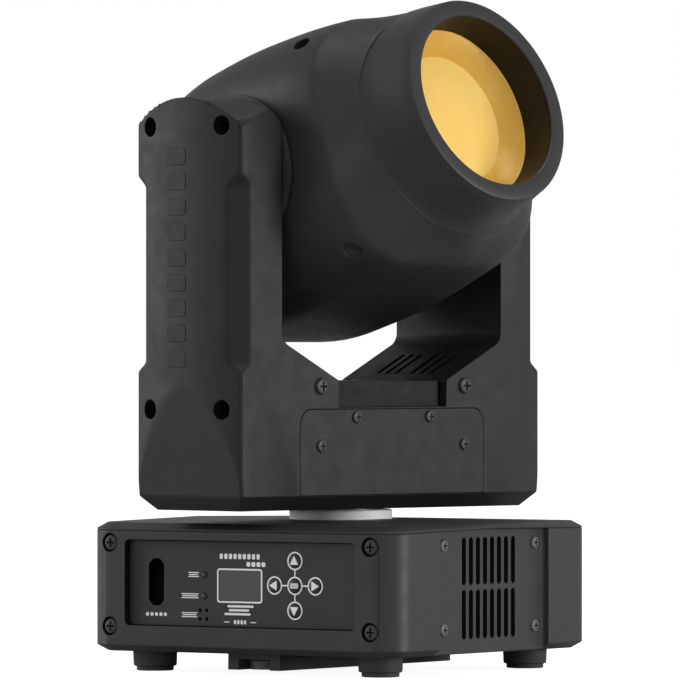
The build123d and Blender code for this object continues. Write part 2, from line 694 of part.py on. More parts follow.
with BuildPart() as head_shell:
    add(shell_out.part)
    add(shell_in.part, mode=Mode.SUBTRACT)
    with BuildSketch(plate_at(-70)):
        Circle(50)
    extrude(amount=20, mode=Mode.SUBTRACT)
    with Locations((0, seam_y + 100, seam_z - 50)):
        Box(300, 200.6, 100.3, mode=Mode.SUBTRACT)
    with Locations(Location((0, 0, 0), (0, 90, 0))):
        Cylinder(axle_r + 0.3, 200, mode=Mode.SUBTRACT)
    for well in wells:
        with Locations(well):
            with Locations((0, 0, -3)):
                Cylinder(6.2, 8)
            with Locations((0, 0, 1)):
                Cylinder(4.3, 10, mode=Mode.SUBTRACT)
            with Locations((0, 0, -6)):
                Cylinder(1.6, 10, mode=Mode.SUBTRACT)
    add(shell_out.part, mode=Mode.INTERSECT)
    # exhaust slots in the tail
    with BuildSketch(plate_at(90, 1)):
        with Locations((0, 4)):
            with GridLocations(1, 7.5, 1, 8):
                SlotOverall(56, 3.6)
    extrude(amount=-14, mode=Mode.SUBTRACT)
on_head(head_shell.part, "head_shell")

with BuildPart() as head_cover:
    add(shell_out.part)
    add(shell_in.part, mode=Mode.SUBTRACT)
    with BuildSketch(plate_at(-70)):
        Circle(50)
    extrude(amount=20, mode=Mode.SUBTRACT)
    with Locations((0, seam_y + 100.15, seam_z - 50)):
        Box(300, 200.0, 99.7, mode=Mode.INTERSECT)
on_head(head_cover.part, "head_cover")

with BuildPart() as nose_ring:
    with BuildSketch(Plane.YZ):
        Polygon((-ring_front, bore_r), (-ring_front, ring_r - 0.8), (-ring_front + 0.8, ring_r),
                (-80.5, 57.2), (-75.0, 58.6), (-75.0, 49.5), (-66, 49.5), (-66, 46.8), (-80.0, 46.8),
                (-80.0, 45.6), (-87.2, 45.6), (-87.2, bore_r), align=None)
    revolve(axis=Axis.Y)
on_head(nose_ring.part, "nose_ring")

lens_face, lens_edge, lens_dome = -89.4, 45.4, 413.4
with BuildPart() as front_lens:
    with BuildSketch(plate_at(-80.2)):
        Circle(lens_edge)
    extrude(amount=9.2)
    with Locations((0, lens_face + lens_dome, 0)):
        Sphere(lens_dome, mode=Mode.INTERSECT)
on_head(front_lens.part, "front_lens")


def tilt_hub(s, toothed):
    with BuildPart() as hub:
        with Locations(Location((s * 75.9, 0, 0), (0, 90, 0))):
            Cylinder(39.0, 3.0)
        with Locations(Location((s * 81, 0, 0), (0, 90, 0))):
            Cylinder(axle_r, 36)
        if toothed:
            add(Location((belt_x, 0, 0), (0, 90, 0)) * pulley(driven_r, belt_w, 5, 1.0, 48).part)
        with Locations(Location((s * 81, 0, 0), (0, 90, 0))):
            Cylinder(8, 60, mode=Mode.SUBTRACT)
    return hub


on_head(tilt_hub(-1, False).part, "tilt_hub_left")
on_head(tilt_hub(1, True).part, "tilt_hub_right")

with BuildPart() as led_module:
    with Locations((0, 37.5, 0)):
        Box(42, 6, 42)
    with Locations((0, 33.5, 0)):
        Box(14, 2, 14)
    with BuildSketch(plate_at(33.0)):
        Circle(15)
        Circle(12, mode=Mode.SUBTRACT)
    extrude(amount=-2)
on_head(led_module.part, "led_module")

with BuildPart() as heatsink:
    with Locations((0, 43, 0)):
        Box(76, 4, 76)
    with Locations(*[(x, 54, 0) for x in range(-36, 37, 6)]):
        Box(1.6, 19, 76)
on_head(heatsink.part, "heatsink")

head_fan_plane = Plane(origin=(0, 79.5, 0), x_dir=(1, 0, 0), z_dir=(0, -1, 0))
on_head(fan_frame(60, 12, 28, head_fan_plane).part, "head_fan")
on_head(fan_rotor(9.5, 27.2, head_fan_plane).part, "head_fan_rotor")

wheel_reach, wheel_r = 26.0, 34.0


def filter_wheel(y, z, holes):
    """A wheel of round apertures; the aperture nearest the optical axis is centred on it."""
    with BuildPart() as wheel:
        with BuildSketch(plate_at(y)):
            with Locations((0, z)):
                Circle(wheel_r)
                with PolarLocations(wheel_reach, holes, start_angle=90 if z < 0 else -90):
                    Circle(7, mode=Mode.SUBTRACT)
                Circle(1.55, mode=Mode.SUBTRACT)
        extrude(amount=1.5)
    return wheel


on_head(filter_wheel(24.5, -wheel_reach, 8).part, "colour_wheel")
on_head(filter_wheel(14.5, wheel_reach, 6).part, "gobo_wheel")

with BuildPart() as prism_disc:
    with BuildSketch(plate_at(-14)):
        Circle(24)
    extrude(amount=5)
    with BuildSketch(plate_at(-19)):
        RegularPolygon(19, 6)
    extrude(amount=2.4, taper=40)
on_head(prism_disc.part, "prism_disc")

rod_x = 42.0
with BuildPart() as focus_carriage:
    with BuildSketch(plate_at(-34)):
        Circle(33)
        Rectangle(2 * rod_x + 12, 14)
        with Locations((-rod_x, 0), (rod_x, 0)):
            Circle(2.55, mode=Mode.SUBTRACT)
    extrude(amount=5)
    with BuildSketch(plate_at(-39)):
        Circle(28)
    extrude(amount=3)
on_head(focus_carriage.part, "focus_carriage")

with BuildPart() as optics_frame:
    with BuildSketch(plate_at(30.5)):
        Rectangle(100, 84)
        Circle(15.8, mode=Mode.SUBTRACT)
    extrude(amount=2.5)
    with BuildSketch(plate_at(29)):
        with Locations((-rod_x, 0), (rod_x, 0)):
            Circle(2.5)
    extrude(amount=90)
    # prism cage: a ring carried on two arms from the rods
    with BuildSketch(plate_at(-13.2)):
        Circle(30)
        Rectangle(2 * rod_x + 8, 10)
        Circle(24.4, mode=Mode.SUBTRACT)
    extrude(amount=5)
    # wheel motors on their brackets
    for y, z in ((22.4, -wheel_reach), (12.4, wheel_reach)):
        with BuildSketch(plate_at(y)):
            with Locations((0, z)):
                Circle(11)
        extrude(amount=16)
        with BuildSketch(plate_at(y + 2.8)):
            with Locations((0, z)):
                Circle(1.5)
        extrude(amount=4)
        with BuildSketch(plate_at(y)):
            with Locations((0, z)):
                Rectangle(2 * rod_x + 8, 7)
            for x in (-rod_x, rod_x):
                with Locations((x, z / 2)):
                    Rectangle(8, abs(z) + 7)
        extrude(amount=2.4)
on_head(optics_frame.part, "optics_frame")

with BuildPart() as head_screws:
    for well in wells:
        with Locations(well):
            with Locations((0, 0, -2.9)):
                Cylinder(3.0, 2.0)
            with Locations((0, 0, -5.4)):
                Cylinder(1.5, 3.0)
            with Locations((0, 0, -2.0)):
                Box(3.4, 0.9, 1.6, mode=Mode.SUBTRACT)
                Box(0.9, 3.4, 1.6, mode=Mode.SUBTRACT)
on_head(head_screws.part, "head_screws")
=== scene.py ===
"""Looks of the compact moving head light.  Pieces are drawn in millimetres in the straight frame of
their own body (front towards -Y), then placed in the row frame and given to that body."""
from math import atan2, cos, hypot, pi, radians, sin, sqrt

import bmesh
import bpy
from mathutils import Matrix, Vector


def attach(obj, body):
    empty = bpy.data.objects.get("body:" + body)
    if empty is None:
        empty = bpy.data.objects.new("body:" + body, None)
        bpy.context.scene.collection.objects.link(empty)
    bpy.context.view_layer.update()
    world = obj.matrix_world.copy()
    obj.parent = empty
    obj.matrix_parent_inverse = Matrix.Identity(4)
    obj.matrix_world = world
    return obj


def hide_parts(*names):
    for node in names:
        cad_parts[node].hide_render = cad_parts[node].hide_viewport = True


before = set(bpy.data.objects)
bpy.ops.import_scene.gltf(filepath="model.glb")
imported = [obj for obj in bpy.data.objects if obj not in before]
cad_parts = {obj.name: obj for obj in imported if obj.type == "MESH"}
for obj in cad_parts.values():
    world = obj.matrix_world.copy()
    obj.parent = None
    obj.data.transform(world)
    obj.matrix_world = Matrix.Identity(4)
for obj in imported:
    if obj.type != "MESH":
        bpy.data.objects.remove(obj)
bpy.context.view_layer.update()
scene = bpy.context.scene
MM = 0.001
STILL = Matrix.Identity(4)
YOKE = Matrix.Rotation(radians(80.54), 4, "Z")
HEAD = YOKE @ Matrix.Translation((0, 0, 0.2445)) @ Matrix.Rotation(radians(-19.7), 4, "X")


# ------------------------------------------------------------------ materials
def lin(v):
    v /= 255
    return v / 12.92 if v <= 0.04045 else ((v + 0.055) / 1.055) ** 2.4


def rgb(r, g=None, b=None):
    return (lin(r), lin(r if g is None else g), lin(r if b is None else b), 1)


class Nodes:
    """A material's node tree with short calls for what the finishes below share."""

    def __init__(self, name):
        self.mat = bpy.data.materials.new(name)
        self.mat.use_nodes = True
        self.tree = self.mat.node_tree
        self.shader = self.tree.nodes["Principled BSDF"]
        self.place = self.add("ShaderNodeTexCoord").outputs["Object"]

    def add(self, kind, **values):
        node = self.tree.nodes.new(kind)
        for key, value in values.items():
            if key.startswith("_"):
                setattr(node, key[1:], value)
            else:
                node.inputs[key.replace("__", " ")].default_value = value
        return node

    def link(self, out, socket):
        self.tree.links.new(out, socket)

    def noise(self, scale, detail=3.0, rough=0.55):
        node = self.add("ShaderNodeTexNoise", Scale=scale, Detail=detail, Roughness=rough)
        self.link(self.place, node.inputs["Vector"])
        return node.outputs["Fac"]

    def spread(self, value, low, high, a=0.3, b=0.7):
        node = self.add("ShaderNodeMapRange")
        node.inputs["From Min"].default_value, node.inputs["From Max"].default_value = a, b
        node.inputs["To Min"].default_value, node.inputs["To Max"].default_value = low, high
        self.link(value, node.inputs["Value"])
        return node.outputs["Result"]

    def mix(self, amount, a, b):
        node = self.add("ShaderNodeMix", _data_type="RGBA")
        if isinstance(amount, float):
            node.inputs[0].default_value = amount
        else:
            self.link(amount, node.inputs[0])
        for socket, colour in ((node.inputs[6], a), (node.inputs[7], b)):
            if isinstance(colour, tuple):
                socket.default_value = colour
            else:
                self.link(colour, socket)
        return node.outputs[2]

    def bump(self, value, depth, strength=1.0):
        node = self.add("ShaderNodeBump", Strength=strength, Distance=depth)
        self.link(value, node.inputs["Height"])
        self.link(node.outputs["Normal"], self.shader.inputs["Normal"])


def plastic(name, colour, rough=0.5, grain=1400.0, depth=0.00004, wear=1.25, spec=0.4, metal=0.0):
    """Moulded or painted finish: fine grain, cloudy roughness, slightly worn lighter edges."""
    n = Nodes(name)
    cloud = n.noise(38.0, 4.0)
    fine = n.noise(grain, 2.0)
    base = n.mix(n.spread(cloud, 0.0, 1.0), tuple(c * 0.93 for c in colour[:3]) + (1,),
                 tuple(c * 1.07 for c in colour[:3]) + (1,))
    edge = n.add("ShaderNodeNewGeometry").outputs["Pointiness"]
    worn = n.mix(n.spread(edge, 0.0, 0.6, 0.53, 0.62), base, tuple(c * wear for c in colour[:3]) + (1,))
    n.link(worn, n.shader.inputs["Base Color"])
    n.link(n.spread(n.noise(120.0, 3.0), rough - 0.05, rough + 0.06), n.shader.inputs["Roughness"])
    n.shader.inputs["Specular IOR Level"].default_value = spec
    n.shader.inputs["Metallic"].default_value = metal
    n.bump(fine, depth)
    return n.mat


def brushed(name, colour, rough=0.35):
    """Turned or brushed metal with fine lines round the upright axis."""
    n = Nodes(name)
    stretch = n.add("ShaderNodeMapping")
    stretch.inputs["Scale"].default_value = (40, 40, 3000)
    n.link(n.place, stretch.inputs["Vector"])
    lines = n.add("ShaderNodeTexNoise", Scale=1.0, Detail=2.0)
    n.link(stretch.outputs["Vector"], lines.inputs["Vector"])
    n.link(n.mix(n.spread(n.noise(60.0), 0.0, 1.0), tuple(c * 0.9 for c in colour[:3]) + (1,), colour),
           n.shader.inputs["Base Color"])
    n.link(n.spread(lines.outputs["Fac"], rough - 0.08, rough + 0.1), n.shader.inputs["Roughness"])
    n.shader.inputs["Metallic"].default_value = 1.0
    n.bump(lines.outputs["Fac"], 0.00002, 0.5)
    return n.mat


case = plastic("case_paint", rgb(52), 0.46, 1500.0, 0.00003)
moulded = plastic("yoke_moulding", rgb(33), 0.5, 1300.0, 0.00004, 1.25, 0.3)
shell = plastic("head_moulding", rgb(45), 0.46, 1300.0, 0.00004)
coarse = plastic("head_cover_texture", rgb(38), 0.52, 620.0, 0.00022, 1.15)
cover = plastic("cover_moulding", rgb(50), 0.5, 1300.0, 0.00005)
panel = plastic("panel_print_base", rgb(48), 0.42, 1700.0, 0.00002)
rubber = plastic("foot_rubber", rgb(70), 0.62, 900.0, 0.00006, 1.1, 0.25)
key_top = plastic("button_cap", rgb(48), 0.4, 1500.0, 0.00002)
# painted shade: this near-black goes on the walls of every hole, slot, well and recess cut with it, where
# shade falls
painted_hollow_shade = plastic("painted_shade_in_hollows", rgb(16), 0.7, 900.0, 0.00003, 1.0, 0.2)
black = plastic("socket_black", rgb(26), 0.42, 1500.0, 0.00003)
board = plastic("circuit_board", rgb(18, 58, 34), 0.4, 2000.0, 0.00002)
motor_black = plastic("motor_case_black", rgb(34), 0.36, 1500.0, 0.00002, 1.5, 0.5, 0.3)
belt = plastic("belt_rubber_black", rgb(24), 0.7, 1800.0, 0.00006, 1.0, 0.2)
white_ink = plastic("white_print", rgb(250), 0.6, 2600.0, 0.000006, 1.0, 0.15)
glow = plastic("light_guide", rgb(52), 0.25, 2200.0, 0.00001)
steel = brushed("zinc_plated_steel", rgb(150), 0.34)
dark_screw = plastic("blackened_screw", rgb(62), 0.46, 1700.0, 0.00002, 1.5, 0.4, 0.2)
grey_screw = plastic("greyed_screw", rgb(104), 0.44, 1700.0, 0.00002, 1.4, 0.5, 0.25)
alu = brushed("turned_aluminium", rgb(214), 0.36)
# near white: partly the collar's own bright finish, partly painted light that lifts it out of the shade
# between base and yoke
collar_white_with_painted_light = plastic("satin_collar_with_painted_light", rgb(248), 0.5, 1500.0, 0.00002, 1.05, 0.4)
lock = plastic("bracket_lock", rgb(88), 0.5, 1300.0, 0.00003)
black_alu = plastic("black_anodised", rgb(30), 0.38, 1700.0, 0.00002, 1.6, 0.5, 0.6)

# CAD pieces that keep their own mesh
CAD_LOOK = {
    black: "power_inlet dmx_input dmx_output",
    board: "control_board main_board led_module",
    steel: "pan_shaft tilt_bearings power_supply",
    alu: "optics_frame focus_carriage heatsink",
    motor_black: "pan_motor tilt_motor base_fan head_fan base_fan_rotor head_fan_rotor",
    belt: "pan_belt tilt_belt",
    black_alu: "pan_pulley pan_motor_pulley tilt_motor_pulley gobo_wheel colour_wheel prism_disc",
    cover: "tilt_hub_left tilt_hub_right",
    rubber: "bracket_bar",
    lock: "bracket_lock_front bracket_lock_rear",
}
for finish_used, names in CAD_LOOK.items():
    for each in names.split():
        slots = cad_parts[each].data.materials
        if len(slots) == 0:
            slots.append(finish_used)
        for i in range(len(slots)):
            slots[i] = finish_used
        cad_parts[each].data.set_sharp_from_angle(angle=radians(30))


# ------------------------------------------------------------------ mesh helpers
def make(name, verts, faces, material=None):
    me = bpy.data.meshes.new(name)
    me.from_pydata([tuple(c * MM for c in v) for v in verts], [], faces)
    bm = bmesh.new()
    bm.from_mesh(me)
    bmesh.ops.recalc_face_normals(bm, faces=bm.faces)
    bm.to_mesh(me)
    bm.free()
    if material:
        me.materials.append(material)
    o = bpy.data.objects.new(name, me)
    scene.collection.objects.link(o)
    return o


def turned(axis, u, v, w):
    """The point at (u, v) in the plane square to axis and w along it.  Planes: xy, xz and yz."""
    return {"z": (u, v, w), "y": (u, w, v), "x": (w, u, v)}[axis]


def prism(name, outline, a, b, axis="z", material=None, top=None):
    """Straight prism of an outline from a to b along axis; top is the outline at b if it tapers."""
    n = len(outline)
    verts = [turned(axis, u, v, a) for u, v in outline]
    verts += [turned(axis, u, v, b) for u, v in (top or outline)]
    faces = [tuple(range(n)), tuple(range(n, 2 * n))]
    faces += [(i, (i + 1) % n, (i + 1) % n + n, i + n) for i in range(n)]
    return make(name, verts, faces, material)


def lathe(name, profile, at=(0, 0, 0), axis="z", material=None, steps=48):
    """Profile of (radius, height) points turned round an axis through at; ends on the axis close."""
    rings, verts, faces = [], [], []
    for r, h in profile:
        ring = []
        for k in range(steps if r > 1e-6 else 1):
            p = turned(axis, r * cos(2 * pi * k / steps), r * sin(2 * pi * k / steps), h)
            ring.append(len(verts))
            verts.append(tuple(p[i] + at[i] for i in range(3)))
        rings.append(ring)
    pairs = list(zip(rings, rings[1:]))
    if len(rings[0]) > 1 and len(rings[-1]) > 1:
        pairs.append((rings[-1], rings[0]))
    for p, q in pairs:
        for k in range(steps):
            face = [p[k % len(p)], p[(k + 1) % len(p)], q[(k + 1) % len(q)], q[k % len(q)]]
            face = list(dict.fromkeys(face))
            if len(face) > 2:
                faces.append(tuple(face))
    return make(name, verts, faces, material)


def skin(name, rings, material=None):
    """Rings of equal length joined in order and closed with a face at each end."""
    n, verts = len(rings[0]), [p for ring in rings for p in ring]
    faces = [(i * n + k, i * n + (k + 1) % n, (i + 1) * n + (k + 1) % n, (i + 1) * n + k)
             for i in range(len(rings) - 1) for k in range(n)]
    faces += [tuple(range(n)), tuple(range(len(verts) - n, len(verts)))]
    return make(name, verts, faces, material)


def rounded(w, h, r, at=(0, 0), steps=6):
    """Outline of a rounded rectangle."""
    points = []
    for sx, sy, a0 in ((1, 1, 0), (-1, 1, 90), (-1, -1, 180), (1, -1, 270)):
        for k in range(steps + 1):
            a = radians(a0 + 90 * k / steps)
            points.append((at[0] + sx * (w / 2 - r) + r * cos(a), at[1] + sy * (h / 2 - r) + r * sin(a)))
    return points


def ring_of(r, at=(0, 0), steps=32):
    return [(at[0] + r * cos(2 * pi * k / steps), at[1] + r * sin(2 * pi * k / steps))
            for k in range(steps)]


def settle_mesh(o):
    """Applies o's modifiers."""
    graph = bpy.context.evaluated_depsgraph_get()
    me = bpy.data.meshes.new_from_object(o.evaluated_get(graph), preserve_all_data_layers=True,
                                         depsgraph=graph)
    old = o.data
    o.modifiers.clear()
    o.data = me
    bpy.data.meshes.remove(old)
    return o


def carve(o, tools, operation="DIFFERENCE"):
    """Cuts o with the tools (or joins or intersects it), then removes them."""
    if operation == "INTERSECT":
        for t in tools:
            m = o.modifiers.new("cut", "BOOLEAN")
            m.operation, m.solver, m.object = operation, "EXACT", t
    else:
        group = bpy.data.collections.new("tools")
        for t in tools:
            group.objects.link(t)
        m = o.modifiers.new("cut", "BOOLEAN")
        m.operation, m.solver, m.operand_type, m.collection = operation, "EXACT", "COLLECTION", group
        m.material_mode = "TRANSFER"
    settle_mesh(o)
    for t in tools:
        bpy.data.objects.remove(t)
    if operation != "INTERSECT":
        bpy.data.collections.remove(group)
    return o


def done(o, where, body, *nodes, bevel=0.0, flat=True, angle=30, steps=2, slot=None, smooth=32):
    """Rounds o's edges, shades it, puts it in the row frame and gives it to its body."""
    if bevel:
        if flat:
            m = o.modifiers.new("flat", "DECIMATE")
            m.decimate_type, m.angle_limit = "DISSOLVE", radians(0.4)
        m = o.modifiers.new("round", "BEVEL")
        m.width, m.segments, m.limit_method, m.angle_limit = bevel * MM, steps, "ANGLE", radians(angle)
        m.use_clamp_overlap, m.harden_normals = False, False
        settle_mesh(o)
    for p in o.data.polygons:
        p.use_smooth = True
    o.data.set_sharp_from_angle(angle=radians(smooth if not bevel else 50))
    if bevel:
        m = o.modifiers.new("shade", "WEIGHTED_NORMAL")
        m.keep_sharp = True
        m.weight = 80
        settle_mesh(o)
    o.data.transform(where)
    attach(o, body)
    if nodes:
        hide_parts(*nodes)
    return o


def joined(name, parts):
    """Several meshes as one piece."""
    bm = bmesh.new()
    materials = []
    for p in parts:
        shift = []
        for m in p.data.materials:
            if m not in materials:
                materials.append(m)
            shift.append(materials.index(m))
        for f in p.data.polygons:
            f.material_index = shift[f.material_index] if shift else 0
        bm.from_mesh(p.data)
    me = bpy.data.meshes.new(name)
    bm.to_mesh(me)
    bm.free()
    for m in materials:
        me.materials.append(m)
    for p in parts:
        bpy.data.objects.remove(p)
    o = bpy.data.objects.new(name, me)
    scene.collection.objects.link(o)
    return o


# ------------------------------------------------------------------ base
BW, BD, BR = 184.0, 176.0, 14.0
Z0, Z1, RIDGE = 10.0, 70.5, 1.5


def gable(y):
    return RIDGE * (1 - abs(y) / (BD / 2))


def base_stock(name):
    """The whole base as one block: bevelled along the floor and along the gabled lid."""
    def plan(inset, r):
        pts = rounded(BW - 2 * inset, BD - 2 * inset, r, steps=10)
        out = []
        for i, p in enumerate(pts):
            q = pts[(i + 1) % len(pts)]
            out.append(p)
            if p[1] * q[1] < 0:
                out.append((p[0], 0.0))
        return out
    rings = []
    for inset, r, z, slope in ((5.0, 10.5, Z0, 0), (0, BR, Z0 + 3.0, 0), (0, BR, Z1, 1),
                               (5.0, 10.0, Z1 + 2.8, 1)):
        rings.append([(x, y, z + slope * gable(y)) for x, y in plan(inset, r)])
    n = len(rings[0])
    verts = [p for ring in rings for p in ring]
    faces = [(i * n + k, i * n + (k + 1) % n, (i + 1) * n + (k + 1) % n, (i + 1) * n + k)
             for i in range(3) for k in range(n)]
    faces.append(tuple(range(n)))
    top = [i for i in range(3 * n, 4 * n)]
    north = [i for i in top if verts[i][1] >= 0]
    south = [i for i in top if verts[i][1] <= 0]
    k = max(range(len(south)), key=lambda j: abs(top.index(south[j]) - top.index(south[j - 1])))
    faces += [tuple(north), tuple(south[k:] + south[:k])]
    return make(name, verts, faces, case)


def block(name, x0, x1, y0, y1, z0, z1, material=None):
    return prism(name, [(x0, y0), (x1, y0), (x1, y1), (x0, y1)], z0, z1, "z", material)


def gabled(name, x0, x1, y0, y1, low, high, material=None):
    """A block under or over the sloping line of the lid: low and high are wall heights or floors."""
    def h(v, y):
        return v + gable(y) if v > 40 else v
    ys = [y0] + ([0.0] if y0 < 0 < y1 else []) + [y1]
    outline = [(y, h(low, y)) for y in ys] + [(y, h(high, y)) for y in reversed(ys)]
    return prism(name, outline, x0, x1, "x", material)


SPLIT = 69.5                        # the lid starts here
CAP_Y = 47.8                        # the end caps stop here
SIDE_X = 88.0                       # outer face of the side panels
PANEL = rounded(137.5, 42, 2.5, (0.5, 44))
SCREW_POCKET_R = 4.6
wall_spots = [(x, z) for x in (-77.5, 77.5) for z in (22.3, 63.4)]
side_spots = [(y, z) for y in (-40.3, 40.3) for z in (22.2, 63.2)]

front = base_stock("base_front_cap")
carve(front, [gabled("keep", -100, 100, -100, -CAP_Y, 0, SPLIT)], "INTERSECT")
# the panel recess and the screw pockets get painted shade on their walls
tools = [prism("t", PANEL, -90, -74, "y", painted_hollow_shade)]
tools += [prism("t", ring_of(SCREW_POCKET_R, p, 40), -90, -85.4, "y", painted_hollow_shade) for p in wall_spots]
carve(front, tools)
done(front, STILL, "base", "front_cap", bevel=0.45, slot="case_plastic")

rear = base_stock("base_rear_cap")
carve(rear, [gabled("keep", -100, 100, CAP_Y, 100, 0, SPLIT)], "INTERSECT")
# the socket openings and the screw pockets get painted shade on their walls
tools = [prism("t", rounded(28, 20.5, 0.8, (50, 42)), 70, 90, "y", painted_hollow_shade)]
tools += [prism("t", ring_of(12.2, (x, 42), 48), 70, 90, "y", painted_hollow_shade) for x in (0, -38)]
tools += [prism("t", ring_of(SCREW_POCKET_R, p, 40), 85.4, 90, "y", painted_hollow_shade) for p in wall_spots]
carve(rear, tools)
done(rear, STILL, "base", "rear_cap", bevel=0.45, slot="case_plastic")

lid = base_stock("base_lid")
carve(lid, [gabled("keep", -100, 100, -100, 100, SPLIT, 90)], "INTERSECT")
# the hole round the collar gets painted shade on its wall
carve(lid, [prism("t", ring_of(25.9, (0, 0), 64), 60, 80, "z", painted_hollow_shade)])
done(lid, STILL, "base", "top_plate", bevel=0.45, slot="case_metal")


LOUVRES, LOUVRE_PITCH = 8, 6.21


def side_plate(s):
    """A set-back side with its louvres; it sweeps out to the end cap along its rear edge."""
    outline = [(-CAP_Y, s * (SIDE_X - 6))]
    outline.append((-CAP_Y, s * SIDE_X))
    for k in range(9):
        a = radians(90 * k / 8)
        outline.append((CAP_Y - 1.8 + 1.8 * sin(a), s * (SIDE_X + 1.6 - 1.6 * cos(a))))
    outline.append((CAP_Y, s * (SIDE_X - 6)))
    side = "right" if s > 0 else "left"
    o = prism("side_" + side, [(x, y) for y, x in outline], Z0, 75, "z", case)
    carve(o, [gabled("keep", -100, 100, -CAP_Y, CAP_Y, Z0 + 0.4, SPLIT)], "INTERSECT")
    tools = []
    for row, tall in ((55.2, 23.2), (29.2, 24.0)):
        for k in range(LOUVRES):
            y = (k - (LOUVRES - 1) / 2) * LOUVRE_PITCH
            # the louvres and screw holes get painted shade on their walls
            tools.append(prism("t", rounded(3.5, tall, 1.74, (y, row), 8), s * 83.5, s * 90, "x", painted_hollow_shade))
    tools += [prism("t", ring_of(1.7, p, 24), s * 84, s * 89, "x", painted_hollow_shade) for p in side_spots]
    carve(o, tools)
    done(o, STILL, "base", "side_panel_" + side, bevel=0.3, slot="case_metal")


side_plate(1)
side_plate(-1)

# control panel: a slab with its openings, and prints a hair proud of its face
FACE = -84.0
INK_FRONT, INK_BACK = FACE - 0.06, FACE + 0.02


def ink_band(a, b):
    """The strip between two outlines with the same number of points."""
    n = len(a)
    verts = [(x, INK_FRONT, z) for x, z in a + b] + [(x, INK_BACK, z) for x, z in a + b]
    faces = []
    for k in range(n):
        j = (k + 1) % n
        faces += [(k, j, n + j, n + k), (2 * n + k, 2 * n + j, 3 * n + j, 3 * n + k),
                  (k, j, 2 * n + j, 2 * n + k), (n + k, n + j, 3 * n + j, 3 * n + k)]
    return make("ink", verts, faces, white_ink)


def bar(cx, cz, w, h):
    return prism("ink", rounded(w, h, min(w, h) * 0.3, (cx, cz), 3), INK_FRONT, INK_BACK, "y", white_ink)


KEY_X, KEY_Z, PITCH = 31.0, 43.9, 12.05
KEYS = {"enter": (0, 0), "up": (0, 1), "down": (0, -1), "left": (-1, 0), "right": (1, 0)}
SCREEN = (-1.8, 43.3)
SLOT_X, SLOT_Z = -51.9, 44.4
LIGHT_X, LIGHT_ZS = -22.8, (48.3, 37.9)


def key_place(i, k):
    return KEY_X + i * PITCH, KEY_Z + k * PITCH


# holes in the panel get painted shade on their walls unless given another material
def panel_hole(outline, material=painted_hollow_shade):
    return prism("t", outline, FACE - 1, FACE + 3, "y", material)


slab = prism("control_panel", rounded(137.0, 41.5, 2.3, (0.5, 44)), FACE, FACE + 1.4, "y", panel)
card_slot = [(-4.6, -8.9), (-2.0, -11.5), (2.0, -11.5), (4.6, -8.9)]
card_slot += [(-x, -z) for x, z in card_slot]
tools = [panel_hole([(x + SLOT_X, z + SLOT_Z) for x, z in card_slot]),
         panel_hole(rounded(25.0, 14.8, 0.8, SCREEN), panel)]
tools += [panel_hole(ring_of(1.6, (LIGHT_X, z), 24)) for z in LIGHT_ZS]
tools += [panel_hole(ring_of(0.9, (x, z), 20)) for x in (-25.5, -21.5) for z in (26.7, 31.0)]
tools += [panel_hole(ring_of(3.65, key_place(i, k), 48)) for i, k in KEYS.values()]
carve(slab, tools)
done(slab, STILL, "base", "display_panel", bevel=0.12, slot="panel_black")

prints = [ink_band(rounded(27.0, 16.8, 1.6, SCREEN), rounded(25.3, 15.1, 0.9, SCREEN))]
for i, k in KEYS.values():
    at = key_place(i, k)
    prints.append(ink_band(ring_of(4.5, at, 40), ring_of(3.72, at, 40)))
    if i or k:
        prints.append(bar(*key_place(i / 2, k / 2), 3.2 if i else 0.7, 0.7 if i else 3.2))
# small plain marks beside the lights, the microphone grille and the slot
for x, z, w in ((-29.4, 48.4, 6.4), (-31.6, 38.0, 10.4), (-31.9, 28.7, 9.4)):
    for k in range(3):
        prints.append(bar(x, z + (k - 1) * 0.95, w - 1.2 * (k == 1), 0.5))
for k in range(5):
    prints.append(bar(SLOT_X + (k - 2) * 2.7, 28.6, 1.7, 1.7))
# plain ornament over and under the display
for k in range(9):
    prints.append(bar(-1.8 + (k - 4) * 2.75, 57.6, 1.9, 2.6))
for k in range(4):
    prints.append(bar(3.4 + k * 3.0, 53.9, 2.3, 2.3))
for k, w in enumerate((15.5, 12.0, 15.5)):
    prints.append(bar(-2.2 + 0.9 * (1 - k), 33.3 - k * 1.9, w, 1.1))
prints += [bar(-9.5, 25.6, 3.4, 0.5), bar(6.3, 25.6, 3.4, 0.5)]
for k in range(4):
    prints.append(bar(-4.6 + k * 2.0, 25.6, 1.4, 2.0))
done(joined("panel_prints", prints), STILL, "base")

# display window: dark tinted pane with a faint grain
pane = Nodes("display_glass")
pane.link(pane.mix(pane.spread(pane.noise(2600.0, 1.0, 0.4), 0.0, 1.0, 0.35, 0.65), rgb(66), rgb(98)),
          pane.shader.inputs["Base Color"])
pane.link(pane.spread(pane.noise(70.0, 2.0), 0.22, 0.34), pane.shader.inputs["Roughness"])
window = prism("display_pane", rounded(24.7, 14.5, 0.7, SCREEN), FACE + 0.2, FACE + 1.4, "y", pane.mat)
done(window, STILL, "base", "display_window", slot="window")

# status lights: small domed light guides
guides = [lathe("g", [(0, -0.7), (0.7, -0.62), (1.2, -0.35), (1.45, 0.1), (1.45, 2.0), (0, 2.0)],
                (LIGHT_X, FACE, z), "y", glow, 24) for z in LIGHT_ZS]
done(joined("status_guides", guides), STILL, "base", "status_lights", slot="light_pipe")

